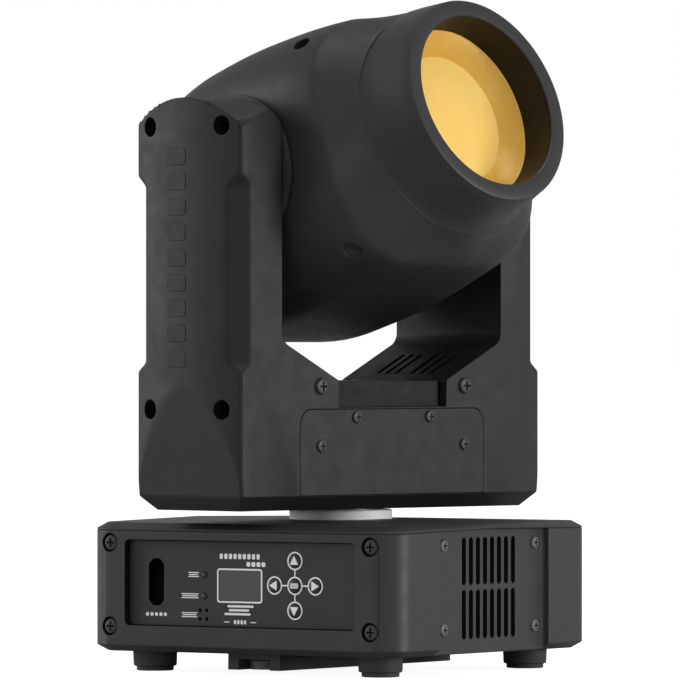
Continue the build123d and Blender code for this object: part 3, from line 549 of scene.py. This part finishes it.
# buttons: rounded caps, four with arrow marks and a middle one with a plain mark
for label, (i, k) in KEYS.items():
    x, z = key_place(i, k)
    cap = lathe("b", [(0, -0.78), (2.3, -0.74), (2.9, -0.6), (3.2, -0.3), (3.3, 0.1), (3.3, 3.2), (0, 3.2)],
                (x, FACE, z), "y", key_top, 40)
    if label == "enter":
        marks = [prism("m", rounded(w, 0.6, 0.2, (x, z + d), 3), FACE - 0.86, FACE - 0.7, "y", white_ink)
                 for w, d in ((4.6, 0.9), (5.2, 0.0), (4.6, -0.9))]
    else:
        turn = atan2(k, i)
        tri = [(x + 2.75 * cos(turn + a) * s, z + 2.75 * sin(turn + a) * s)
               for a, s in ((0, 0.95), (radians(126), 1.1), (radians(-126), 1.1))]
        marks = [prism("m", tri, FACE - 0.84, FACE - 0.7, "y", white_ink)]
    done(joined("key_" + label, [cap] + marks), STILL, "button_" + label, "button_" + label,
         slot="button_plastic")


def cross_screw(name, head, tall, at, axis, out, material):
    """Pan-head screw with a cross recess; out is the way its head faces along axis."""
    profile = [(0, tall), (head * 0.58, tall * 0.98), (head * 0.84, tall * 0.86),
               (head * 0.96, tall * 0.58), (head, 0.0), (head, -0.6), (0, -0.6)]
    o = lathe(name, profile, (0, 0, 0), "z", material, 32)
    w = head * 0.12
    arm = head * 0.6
    cross = [(-w, -arm), (w, -arm), (w, -w), (arm, -w), (arm, w), (w, w), (w, arm), (-w, arm), (-w, w),
             (-arm, w), (-arm, -w), (-w, -w)]
    # painted shade in the cross recess
    carve(o, [prism("t", cross, tall * 0.5, tall + 1, "z", painted_hollow_shade)])
    turn = {"x": Matrix.Rotation(radians(90 * out), 4, "Y"),
            "y": Matrix.Rotation(radians(-90 * out), 4, "X"),
            "z": STILL}[axis]
    o.data.transform(Matrix.Translation(Vector(at) * MM) @ turn)
    return o


screws = []
for x, z in wall_spots:
    screws.append(cross_screw("s", 4.0, 2.0, (x, -85.4, z), "y", -1, dark_screw))
    screws.append(cross_screw("s", 4.0, 2.0, (x, 85.4, z), "y", 1, dark_screw))
for y, z in side_spots:
    screws.append(cross_screw("s", 3.1, 1.5, (88.0, y, z), "x", 1, grey_screw))
    screws.append(cross_screw("s", 3.1, 1.5, (-88.0, y, z), "x", -1, grey_screw))
done(joined("case_screws", screws), STILL, "base", "base_screws", slot="zinc_steel")

foot = [(0, 0.0), (8.6, 0.0), (9.1, 0.3), (9.2, 0.8), (9.2, 2.1), (9.9, 2.2), (10.5, 2.5), (10.7, 3.1),
        (11.0, 9.8), (0, 9.8)]
feet = []
for x in (-67.4, 67.4):
    for y in (-63.7, 63.7):
        feet.append(lathe("f", foot, (x, y, 0), "z", rubber, 56))
done(joined("rubber_feet", feet), STILL, "base", "feet", slot="rubber_black")

# collar under the yoke
profile = [(18.1, 65.3), (30.5, 65.3), (30.5, 68.0), (25.5, 68.3), (25.5, 78.7), (24.9, 79.3), (18.1, 79.3)]
o = lathe("turned_collar", profile, (0, 0, 0), "z", collar_white_with_painted_light, 96)
done(o, STILL, "base", "pan_collar", slot="bright_aluminium")

# ------------------------------------------------------------------ yoke
DEPTH = 36.0                        # half depth of the fork
EDGE, BULGE = 106.0, 4.5            # half width at the upright corners, and the swell between them
ARM_IN, ARM_TOP = 77.8, 281.0
NOTCH, NOTCH_Z, NOTCH_TOP = 37.7, 143.0, 162.5
TILT_Z = 244.5
JOINT_X = 99.8                      # the arm covers start here
ROUND_R = 1.8


def softened(points, radii, steps=6):
    """A polygon with its corners rounded; radii has one number for each corner, 0 to keep it."""
    out = []
    n = len(points)
    for i, (p, r) in enumerate(zip(points, radii)):
        if not r:
            out.append(p)
            continue
        a, b = Vector(points[i - 1]) - Vector(p), Vector(points[(i + 1) % n]) - Vector(p)
        half = a.angle(b) / 2
        a, b = a.normalized(), b.normalized()
        centre = Vector(p) + (a + b).normalized() * (r / sin(half))
        start, end = Vector(p) + a * (r * cos(half) / sin(half)) - centre, Vector(p) + b * (
            r * cos(half) / sin(half)) - centre
        for k in range(steps + 1):
            v = start.lerp(end, k / steps).normalized() * r
            out.append((centre.x + v.x, centre.y + v.y))
    return out


def ease(v):
    v = min(max(v, 0.0), 1.0)
    return v * v * (3 - 2 * v)


def fork_half_depth(z):
    return DEPTH - max(0.0, 87.0 - z)


def fork_half_width(y, z):
    """Outer face of an arm: bulged, with a leaning facet at its foot and bevelled upright corners."""
    h = fork_half_depth(z)
    x = min(EDGE + BULGE * (1 - (y / DEPTH) ** 2), 110.5 + (z - 141.0) * 0.094, 99.0 + (z - 79.0) * 0.833)
    chamfer = 0.3 + 5.9 * ease((z - 146) / 7) * ease((245 - z) / 8)
    x = min(x, EDGE + h - chamfer - abs(y))
    past = (abs(y) - (h - ROUND_R)) / ROUND_R
    if past > 0:
        x -= ROUND_R * (1 - sqrt(max(0.0, 1 - past * past)))
    return x


# points across the depth crowd towards the corners, and levels crowd at the shoulders
across = [0, 0.1, 0.2, 0.3, 0.4, 0.5, 0.6, 0.68, 0.74, 0.79, 0.83, 0.86, 0.89, 0.92, 0.945, 0.96, 0.972,
          0.982, 0.99, 0.996, 1.0]
across = [-a for a in reversed(across)] + across[1:]
levels = [80.0]
while levels[-1] < 290:
    z = levels[-1]
    step = next(s for top, s in ((95, 1.0), (142, 1.5), (156, 0.8), (232, 6.0), (234.01, 2.0), (247, 0.8),
                                 (250, 2.0), (999, 8.0)) if z < top)
    levels.append(z + step)
rings = []
for z in levels:
    h = fork_half_depth(z)
    right = [(fork_half_width(a * h, z), a * h, z) for a in across]
    rings.append(right + [(-x, y, z) for x, y, z in reversed(right)])
fork = skin("fork", rings, moulded)

# arched tops with rounded shoulders: the outline of the tops at each depth, rounded on both sides
ARCH_DROP = 15.0
arch_r = (DEPTH ** 2 + ARCH_DROP ** 2) / (2 * ARCH_DROP)
arch = [(36.2, 70.0), (36.2, 265.8)]
arch += [(y, ARM_TOP - arch_r + sqrt(arch_r ** 2 - y * y)) for y in (29, 25, 21, 17, 13, 9, 4.5, 0)]
arch = softened(arch, [0, 9.0] + [0] * 8, 10)[1:]
arch = arch + [(-y, z) for y, z in reversed(arch[:-1])]
notch = [(ARM_IN, 300.0), (ARM_IN, NOTCH_TOP), (NOTCH, NOTCH_Z), (0, NOTCH_Z)]
notch = softened(notch, [0, 7.0, 2.0, 0], 8)[1:-1]
sections = []
for y, top in arch:
    # a small round outside, a large one inside that drops less towards the front and back
    arm = [(112.0, 70.0), (112.0, top - 2.5)]
    arm += [(109.5 + 2.5 * cos(radians(a)), top - 2.5 + 2.5 * sin(radians(a))) for a in (18, 36, 54, 72, 90)]
    high = ARM_TOP - 0.4 * (ARM_TOP - top)
    arm += [(ARM_IN + 11 - 11 * sin(radians(a)), high - 11 + 11 * cos(radians(a))) for a in range(0, 91, 9)]
    right = arm + notch
    sections.append([(x, y, z) for x, z in right] + [(-x, y, z) for x, z in reversed(right)])
carve(fork, [skin("keep", sections, moulded)], "INTERSECT")

# service window, cover recess, screw holes and the slanted slots in the notch
shade = plastic("recess_moulding", rgb(34), 0.6, 1300.0, 0.00004, 1.1, 0.2)
tools = []
plate = softened([(-65.5, 87.0), (65.5, 87.0), (65.5, 123.3), (61.5, 129.3), (-61.5, 129.3), (-65.5, 123.3)],
                 [1.5, 1.5, 5.0, 5.0, 5.0, 5.0], 4)
for s in (-1, 1):
    a, b = sorted((s * 34.5, s * 40))
    tools.append(prism("t", plate, a, b, "y", moulded))
    a, b = sorted((s * 31.6, s * 41))
    tools.append(block("t", -38.3, 38.3, a, b, 130.2, 145.0, shade))
    # a thin slot of painted shade at the end of the window recess
    a, b = sorted((s * 29.0, s * 41))
    tools.append(block("t", 37.1, 38.3, a, b, 130.2, 145.0, painted_hollow_shade))
arm_spots = [(y, z) for y in (-24.6, 24.6) for z in (129.2, 267.0)]
plate_spots = [(-51, 111.3), (51, 111.3), (-26, 125.3), (26, 125.3)]
# the arm screw wells get painted shade on their walls
for s in (-1, 1):
    for y, z in arm_spots:
        a, b = sorted((s * 98.6, s * 115))
        tools.append(prism("t", ring_of(4.7, (y, z), 32), a, b, "x", painted_hollow_shade))
slope = Vector((ARM_IN - NOTCH, 0, NOTCH_TOP - NOTCH_Z)).normalized()
# the slanted slots get painted shade on their walls
for sx in (-1, 1):
    for y in (-18.5, -12.0, -5.6, 5.3, 11.5, 17.4):
        pts = rounded(22.0, 2.2, 1.09, (0, 0), 6)
        o = prism("t", pts, -9, 3, "z", painted_hollow_shade)
        place = Matrix(((slope.x * sx, 0, -slope.z * sx), (0, sx, 0), (slope.z, 0, slope.x))).to_4x4()
        place.translation = Vector((sx * 54.3, y, NOTCH_Z + 16.6 * slope.z / slope.x)) * MM
        o.data.transform(place)
        bm = bmesh.new()
        bm.from_mesh(o.data)
        bmesh.ops.recalc_face_normals(bm, faces=bm.faces)
        bm.to_mesh(o.data)
        bm.free()
        tools.append(o)
# the tilt bore gets painted shade on its wall
tools.append(prism("t", ring_of(14, (0, TILT_Z), 48), -JOINT_X, JOINT_X, "x", painted_hollow_shade))
carve(fork, tools)
# the strips of the level front and back become single faces before the edges are rounded
bm = bmesh.new()
bm.from_mesh(fork.data)
level = [e for e in bm.edges
         if len(e.link_faces) == 2 and all(abs(f.normal.y) > 0.99999 for f in e.link_faces)
         and abs(e.link_faces[0].calc_center_median().y - e.link_faces[1].calc_center_median().y) < 1e-5
         and e.link_faces[0].material_index == e.link_faces[1].material_index]
bmesh.ops.dissolve_edges(bm, edges=level, use_verts=True)
bm.to_mesh(fork.data)
bm.free()
m = fork.modifiers.new("round", "BEVEL")
m.width, m.segments, m.limit_method, m.angle_limit = 0.4 * MM, 2, "ANGLE", radians(38)
m.use_clamp_overlap = False
settle_mesh(fork)
for name, planes, node in (("fork_body", ((-JOINT_X, -1), (JOINT_X, 1)), "yoke_body"),
                           ("fork_arm_left", ((-JOINT_X, 1),), "arm_cover_left"),
                           ("fork_arm_right", ((JOINT_X, -1),), "arm_cover_right")):
    part = bpy.data.objects.new(name, fork.data.copy())
    scene.collection.objects.link(part)
    bm = bmesh.new()
    bm.from_mesh(part.data)
    for x, side in planes:
        everything = bm.verts[:] + bm.edges[:] + bm.faces[:]
        bmesh.ops.bisect_plane(bm, geom=everything, plane_co=(x * MM, 0, 0), plane_no=(side, 0, 0),
                               clear_outer=True, dist=1e-7)
    bm.to_mesh(part.data)
    bm.free()
    for f in part.data.polygons:
        f.use_smooth = True
    part.data.set_sharp_from_angle(angle=radians(40))
    m = part.modifiers.new("shade", "WEIGHTED_NORMAL")
    m.keep_sharp = True
    settle_mesh(part)
    # the level front and back are shaded truly flat
    normals = [n.vector.copy() for n in part.data.corner_normals]
    for f in part.data.polygons:
        if abs(f.normal.y) > 0.9999:
            for i in f.loop_indices:
                normals[i] = f.normal.copy()
    part.data.normals_split_custom_set(normals)
    done(part, YOKE, "yoke", node, slot="case_plastic", smooth=40)
bpy.data.objects.remove(fork)

# cover plates over the foot of the yoke
for s, name in ((-1, "front"), (1, "rear")):
    a, b = sorted((s * 34.6, s * DEPTH))
    inner = [(x * (1 - 0.2 / 65.5), z + (0.2 if z < 100 else -0.2)) for x, z in plate]
    o = prism("cover_plate_" + name, inner, a, b, "y", moulded)
    carve(o, [prism("t", ring_of(1.6, p, 24), -50, 50, "y", painted_hollow_shade) for p in plate_spots])
    done(o, YOKE, "yoke", "yoke_cover_" + name, bevel=0.25, slot="cover_plastic")

parts = []
for s in (-1, 1):
    for x in (-51.1, 51.1):
        parts.append(cross_screw("s", 4.1, 2.0, (x, s * DEPTH, 140.4), "y", s, dark_screw))
    for x, z in plate_spots:
        parts.append(cross_screw("s", 3.1, 1.5, (x, s * DEPTH, z), "y", s, dark_screw))
    for y, z in arm_spots:
        parts.append(cross_screw("s", 3.2, 1.6, (s * 98.7, y, z), "x", s, grey_screw))
done(joined("fork_screws", parts), YOKE, "yoke", "yoke_screws", slot="zinc_steel")

# a row of plain raised tablets down the outside of each arm, a neutral ornament
TABLETS, TABLET_Y, TABLET_Z, TABLET_PITCH = 9, 4.3, 154.0, 12.3
for s, name in ((-1, "left"), (1, "right")):
    tablets = []
    for k in range(TABLETS):
        a, b = sorted((s * 107.0, s * 110.72))
        outline = rounded(13.0, 8.6, 2.4, (TABLET_Y, TABLET_Z + k * TABLET_PITCH), 5)
        tablets.append(prism("r", outline, a, b, "x", moulded))
    done(joined("tablets_" + name, tablets), YOKE, "yoke", bevel=0.3, slot="cover_plastic")


# ------------------------------------------------------------------ head
# depth along the lens axis, half width, height above and below the axis, corner radius
BARREL = ((-64, 70.0, 58.4, 64.2, 46), (-50, 72.0, 60.0, 65.8, 43), (-30, 73.2, 61.8, 67.0, 41),
          (-10, 73.8, 63.1, 68.2, 40), (11, 73.8, 63.2, 68.7, 39), (32, 72.5, 62.6, 68.2, 39),
          (54, 69.0, 59.2, 67.0, 39), (70, 62.0, 53.6, 62.4, 38), (79, 54.0, 47.0, 56.0, 36),
          (84.5, 45, 39, 48, 32))
TAIL_Y = BARREL[-1][0]
NOSE_Y, NOSE_R = -76.6, 59.2        # the lip of the barrel round the root of the nose ring


def over(a):
    """How far the direction a points to the top: 0 at the sides and below, 1 straight up."""
    return max(0.0, sin(a)) ** 2


def barrel(y):
    """The section at depth y, smooth between the rows of BARREL."""
    y = min(max(y, BARREL[0][0]), TAIL_Y)
    i = max(k for k in range(len(BARREL) - 1) if BARREL[k][0] <= y)
    row, following = BARREL[i], BARREL[i + 1]
    h = following[0] - row[0]
    t = (y - row[0]) / h

    def trend(j, c):
        a, b = BARREL[max(j - 1, 0)], BARREL[min(j + 1, len(BARREL) - 1)]
        return (b[c] - a[c]) / (b[0] - a[0])
    return [(2 * t ** 3 - 3 * t ** 2 + 1) * row[c] + (t ** 3 - 2 * t ** 2 + t) * h * trend(i, c)
            + (3 * t ** 2 - 2 * t ** 3) * following[c] + (t ** 3 - t ** 2) * h * trend(i + 1, c)
            for c in (1, 2, 3, 4)]


def reach(section, ca, sa):
    """Distance from the axis to the rounded-square section in the direction (ca, sa)."""
    w, up, down, r = section
    mid, tall = (up - down) / 2, (up + down) / 2
    low, high = 0.0, 130.0
    for _ in range(26):
        m = (low + high) / 2
        qx, qz = abs(m * ca) - (w - r), abs(m * sa - mid) - (tall - r)
        d = hypot(max(qx, 0), max(qz, 0)) + min(max(qx, qz), 0) - r
        low, high = (m, high) if d < 0 else (low, m)
    return low


# rings from the tail to a crease round the barrel, then a cone from there to the lip
TURNS, ALONG, CONE = 144, 56, 18
head_rings = []
angles = [2 * pi * k / TURNS for k in range(TURNS)]
crease = [50 + 9 * abs(cos(a)) ** 1.5 + 12 * over(a) for a in angles]
for i in range(ALONG + 1):
    t = i / ALONG
    ring = []
    for a, c in zip(angles, crease):
        y = TAIL_Y + (-c - TAIL_Y) * t
        ring.append((reach(barrel(y), cos(a), sin(a)), y, a))
    head_rings.append(ring)
for i in range(1, CONE + 1):
    t = i / CONE
    head_rings.append([(r + (NOSE_R - 3.9 * over(a) - r) * t, y + (NOSE_Y - 8.4 * over(a) - y) * t, a)
                       for r, y, a in head_rings[ALONG]])
# soften the crease
for _ in range(7):
    before = list(head_rings)
    for i in range(ALONG - 5, ALONG + 6):
        head_rings[i] = [((p[0] + 2 * q[0] + s[0]) / 4, q[1], q[2])
                         for p, q, s in zip(before[i - 1], before[i], before[i + 1])]
# tail: closes in over a soft edge
tail = [[(r * shrink, y, a) for r, _, a in head_rings[0]]
        for shrink, y in ((0.62, 87.2), (0.86, 86.9), (0.95, 86.0))]
rings = [[(r * cos(a), y, r * sin(a)) for r, y, a in ring] for ring in tail + head_rings]
body = skin("barrel", rings, shell)


def mouth(r, deep, s, spot, out, material):
    """A round tool sunk deep into the skin at spot, facing out."""
    o = prism("t", ring_of(r, (0, 0), 40), -deep, 12, "z", material)
    n = Vector((s * out[0], out[1], out[2])).normalized()
    place = n.to_track_quat("Z", "Y").to_matrix().to_4x4()
    place.translation = Vector((s * spot[0], spot[1], spot[2])) * MM
    o.data.transform(place)
    return o


# barrel screws: a point on the skin, the way out there and the depth of the open well, 0 for none
WELLS = (((56.9, -48.0, 50.2), (0.64, -0.08, 0.76), 6.0), ((58.9, -23.0, 53.7), (0.65, -0.05, 0.76), 0),
         ((56.5, -46.0, -57.2), (0.63, -0.08, -0.78), 1.8))
# deep wells get painted shade on their walls, shallow ones keep the shell colour; the rear slots and both
# bores get painted shade too
tools = [mouth(4.3, deep, s, spot, out, painted_hollow_shade if deep > 3 else shell)
         for s in (-1, 1) for spot, out, deep in WELLS if deep]
for k in range(8):
    tools.append(prism("t", rounded(56, 3.6, 1.78, (0, 4 + (k - 3.5) * 7.5)), 78, 95, "y", painted_hollow_shade))
tools.append(prism("t", ring_of(12.3, (0, 0), 40), -100, 100, "x", painted_hollow_shade))
tools.append(prism("t", ring_of(45.5, (0, 0), 96), -100, -68, "y", painted_hollow_shade))
carve(body, tools)
m = body.modifiers.new("round", "BEVEL")
m.width, m.segments, m.limit_method, m.angle_limit = 0.5 * MM, 2, "ANGLE", radians(40)
m.use_clamp_overlap = False
settle_mesh(body)
# lower cover: the belly behind a rounded front edge
half = [(0, -14.6), (34, -14.6), (42, -14.2), (47, -12.6), (51, -9.0), (53.4, -3.0), (54.4, 6.0),
        (54.5, 20), (53, 38), (48, 60), (38, 90), (0, 90)]
belly = half + [(-x, y) for x, y in reversed(half[1:-1])]
GAP = 0.16                          # half the seam round the lower cover


def lap(name, grow, z1):
    """Everything below z1 inside the belly's outline grown by grow."""
    return prism(name, [(x * (1 + grow / 54), y - grow * (y < 80)) for x, y in belly], -100, z1, "z", shell)


belly_part = bpy.data.objects.new("barrel_belly", body.data.copy())
scene.collection.objects.link(belly_part)
carve(belly_part, [lap("keep", -GAP, -56.0)], "INTERSECT")
for i in range(len(belly_part.data.materials)):
    if belly_part.data.materials[i] == shell:
        belly_part.data.materials[i] = coarse
carve(body, [lap("t", GAP, -55.6)])
body.name = "barrel_shell"
done(body, HEAD, "head", "head_shell", slot="case_plastic", smooth=38)
done(belly_part, HEAD, "head", "head_cover", slot="cover_plastic", smooth=38)

parts = []
for s in (-1, 1):
    for spot, out, _ in WELLS:
        n = Vector((s * out[0], out[1], out[2])).normalized()
        o = cross_screw("s", 3.0, 1.6, (0, 0, 0), "z", 1, grey_screw)
        place = n.to_track_quat("Z", "Y").to_matrix().to_4x4()
        place.translation = (Vector((s * spot[0], spot[1], spot[2])) - n * 5.9) * MM
        o.data.transform(place)
        parts.append(o)
done(joined("barrel_screws", parts), HEAD, "head", "head_screws", slot="zinc_steel")

# nose ring: a flared tube with a soft front edge and a deep bore
profile = [(43.8, -105.1), (44.3, -105.65), (45.2, -105.8), (51.0, -105.8), (51.8, -105.5), (52.2, -104.8),
           (53.4, -98.5), (54.9, -91.0), (56.3, -84.4), (57.4, -80.0), (58.5, -77.6), (59.2, -76.4),
           (59.2, -75.0), (46.5, -75.0), (46.5, -80.0), (43.8, -80.4)]
ring_look = plastic("nose_ring_moulding", rgb(49), 0.44, 1500.0, 0.00003)
ring = lathe("barrel_nose", profile, (0, 0, 0), "y", ring_look, 128)
for v in ring.data.vertices:
    # the hidden root of the ring dives under the lip of the barrel, which reaches forward at the top
    r = hypot(v.co.x, v.co.z) / MM
    if r > 50:
        sink = 2.4 * over(atan2(v.co.z, v.co.x)) * min(max((v.co.y / MM + 86) / 9.6, 0.0), 1.0)
        v.co.x *= (r - sink) / r
        v.co.z *= (r - sink) / r
# painted shade in the bore: faces nearer the axis than 44.2 mm get a dark brown, tinted with painted amber
# light from the optic
painted_bore_shade = plastic("painted_shade_in_bore", rgb(30, 23, 16), 0.55, 1200.0, 0.00003, 1.0, 0.3)
ring.data.materials.append(painted_bore_shade)
for f in ring.data.polygons:
    c = f.center / MM
    if hypot(c.x, c.z) < 44.2 and c.y > -105.3:
        f.material_index = 1
done(ring, HEAD, "head", "nose_ring", slot="ring_plastic", smooth=28)

# front lens: a clear dome over the amber optic, whose middle element sits deeper
def optic_with_painted_glow(name, scale, low, high, strength, rough):
    """A coated element with a painted glow (faint emission standing in for light through it, though it is no
    lamp), its tint drifting between two colours.
    """
    n = Nodes(name)
    tint = n.noise(scale, 2.0)
    for socket in ("Base Color", "Emission Color"):
        n.link(n.mix(n.spread(tint, 0.0, 1.0), low, high), n.shader.inputs[socket])
    n.shader.inputs["Emission Strength"].default_value = strength
    n.link(n.spread(n.noise(160.0), *rough), n.shader.inputs["Roughness"])
    return n


# painted glow on both amber elements; the middle one is a lighter copy with a stronger painted glow, a
# painted brighter middle
amber = optic_with_painted_glow("amber_optic", 24.0, rgb(226, 182, 88), rgb(236, 196, 104), 0.22, (0.2, 0.3))
core = optic_with_painted_glow("amber_core", 30.0, rgb(244, 208, 122), rgb(249, 220, 144), 0.34, (0.16, 0.26))
core.shader.inputs["Coat Weight"].default_value = 0.6
core.shader.inputs["Coat Roughness"].default_value = 0.08
clear = Nodes("lens_glass")
clear.link(clear.mix(clear.spread(clear.noise(30.0), 0.0, 1.0), (1.0, 0.93, 0.76, 1), (1.0, 0.95, 0.8, 1)),
           clear.shader.inputs["Base Color"])
clear.shader.inputs["Transmission Weight"].default_value = 1.0
clear.shader.inputs["IOR"].default_value = 1.12
clear.link(clear.spread(clear.noise(240.0), 0.0, 0.02), clear.shader.inputs["Roughness"])


def domed(rs, face, radius):
    """Profile points at the radii rs of a sphere whose front is at face."""
    return [(r, face + radius - sqrt(radius ** 2 - r * r)) for r in rs]


optic = [lathe("o", domed((0, 6, 12, 18, 24, 28, 32.4), -81.4, 260.0) + [(32.4, -72.0), (0, -72.0)],
               (0, 0, 0), "y", core.mat, 128),
         lathe("o", [(32.4, -78.6), (35.5, -81.4), (39.5, -84.2), (43.6, -86.4), (43.7, -85.8), (43.7, -72.0),
                     (32.4, -72.0)], (0, 0, 0), "y", amber.mat, 128)]
done(joined("amber_optic", optic), HEAD, "head", smooth=24)
dome = domed((0, 6, 12, 18, 24, 30, 36, 41, 43.65), -89.4, 413.4)
back = [(r, y + 0.9) for r, y in reversed(dome)]
glass = lathe("coated_front_lens", dome + back, (0, 0, 0), "y", clear.mat, 128)
done(glass, HEAD, "head", "front_lens", slot="lens_coated", smooth=30)

# ------------------------------------------------------------------ camera, floor and light
camera = bpy.data.objects.new("camera", bpy.data.cameras.new("camera"))
scene.collection.objects.link(camera)
camera.location = (2.1655, -3.1362, 0.1631)
camera.rotation_euler = (radians(90), 0, radians(34.63))
camera.data.sensor_width, camera.data.lens = 36.0, 406.8
camera.data.clip_start, camera.data.clip_end = 0.1, 60.0
scene.camera = camera

floor_look = Nodes("floor_pale")
floor_look.link(floor_look.mix(floor_look.spread(floor_look.noise(3.0), 0.0, 1.0), (0.5, 0.5, 0.5, 1),
                               (0.53, 0.53, 0.53, 1)), floor_look.shader.inputs["Base Color"])
floor_look.shader.inputs["Roughness"].default_value = 0.8
floor_look.shader.inputs["Specular IOR Level"].default_value = 0.1
floor_look.shader.inputs["Emission Color"].default_value = (1, 1, 1, 1)
seen = floor_look.add("ShaderNodeLightPath").outputs["Is Camera Ray"]
floor_look.link(floor_look.spread(seen, 0.0, 0.93, 0.0, 1.0), floor_look.shader.inputs["Emission Strength"])
floor = make("floor", [(-30000, -30000, 0), (30000, -30000, 0), (30000, 30000, 0), (-30000, 30000, 0)],
             [(0, 1, 2, 3)], floor_look.mat)
floor.location.z = -0.0002

# plain white surroundings; their light is bright near the horizon and softer above
SKY_LOW, SKY_HIGH = 0.95, 0.38
world = bpy.data.worlds.new("studio")
scene.world = world
world.use_nodes = True
wt = world.node_tree
sky = wt.nodes["Background"]
where = wt.nodes.new("ShaderNodeTexCoord")
up = wt.nodes.new("ShaderNodeSeparateXYZ")
wt.links.new(where.outputs["Generated"], up.inputs[0])
fade = wt.nodes.new("ShaderNodeMapRange")
fade.inputs["From Min"].default_value, fade.inputs["From Max"].default_value = 0.05, 0.24
fade.inputs["To Min"].default_value, fade.inputs["To Max"].default_value = SKY_LOW, SKY_HIGH
wt.links.new(up.outputs["Z"], fade.inputs["Value"])
path = wt.nodes.new("ShaderNodeLightPath")
level = wt.nodes.new("ShaderNodeMix")
wt.links.new(path.outputs["Is Camera Ray"], level.inputs[0])
wt.links.new(fade.outputs["Result"], level.inputs[2])
level.inputs[3].default_value = 1.0
sky.inputs["Color"].default_value = (1, 1, 1, 1)
wt.links.new(level.outputs[0], sky.inputs["Strength"])


AIM = Vector((0, 0, 0.17))
SIDEWAYS, NEARER = Vector((0.8228, 0.5683, 0)), Vector((0.5683, -0.8228, 0))


def lamp(name, place, size, power, tall=None):
    """A soft box; place is metres right of the camera's line, towards the camera, and up."""
    light = bpy.data.lights.new(name, "AREA")
    light.shape, light.size, light.energy = "RECTANGLE", size, power
    light.size_y = tall or size
    o = bpy.data.objects.new(name, light)
    o.location = SIDEWAYS * place[0] + NEARER * place[1] + Vector((0, 0, place[2]))
    o.rotation_euler = (AIM - o.location).to_track_quat("-Z", "Y").to_euler()
    scene.collection.objects.link(o)


lamp("side_box", (2.4, 0.75, 0.28), 1.0, 31, tall=0.9)
lamp("rim_box", (-2.2, -0.5, 0.6), 0.8, 19, tall=1.6)
lamp("front_box", (-0.5, 3.0, 1.4), 1.4, 8)
lamp("top_box", (0.3, 0.2, 2.4), 1.4, 16)
scene.view_settings.view_transform = "Standard"
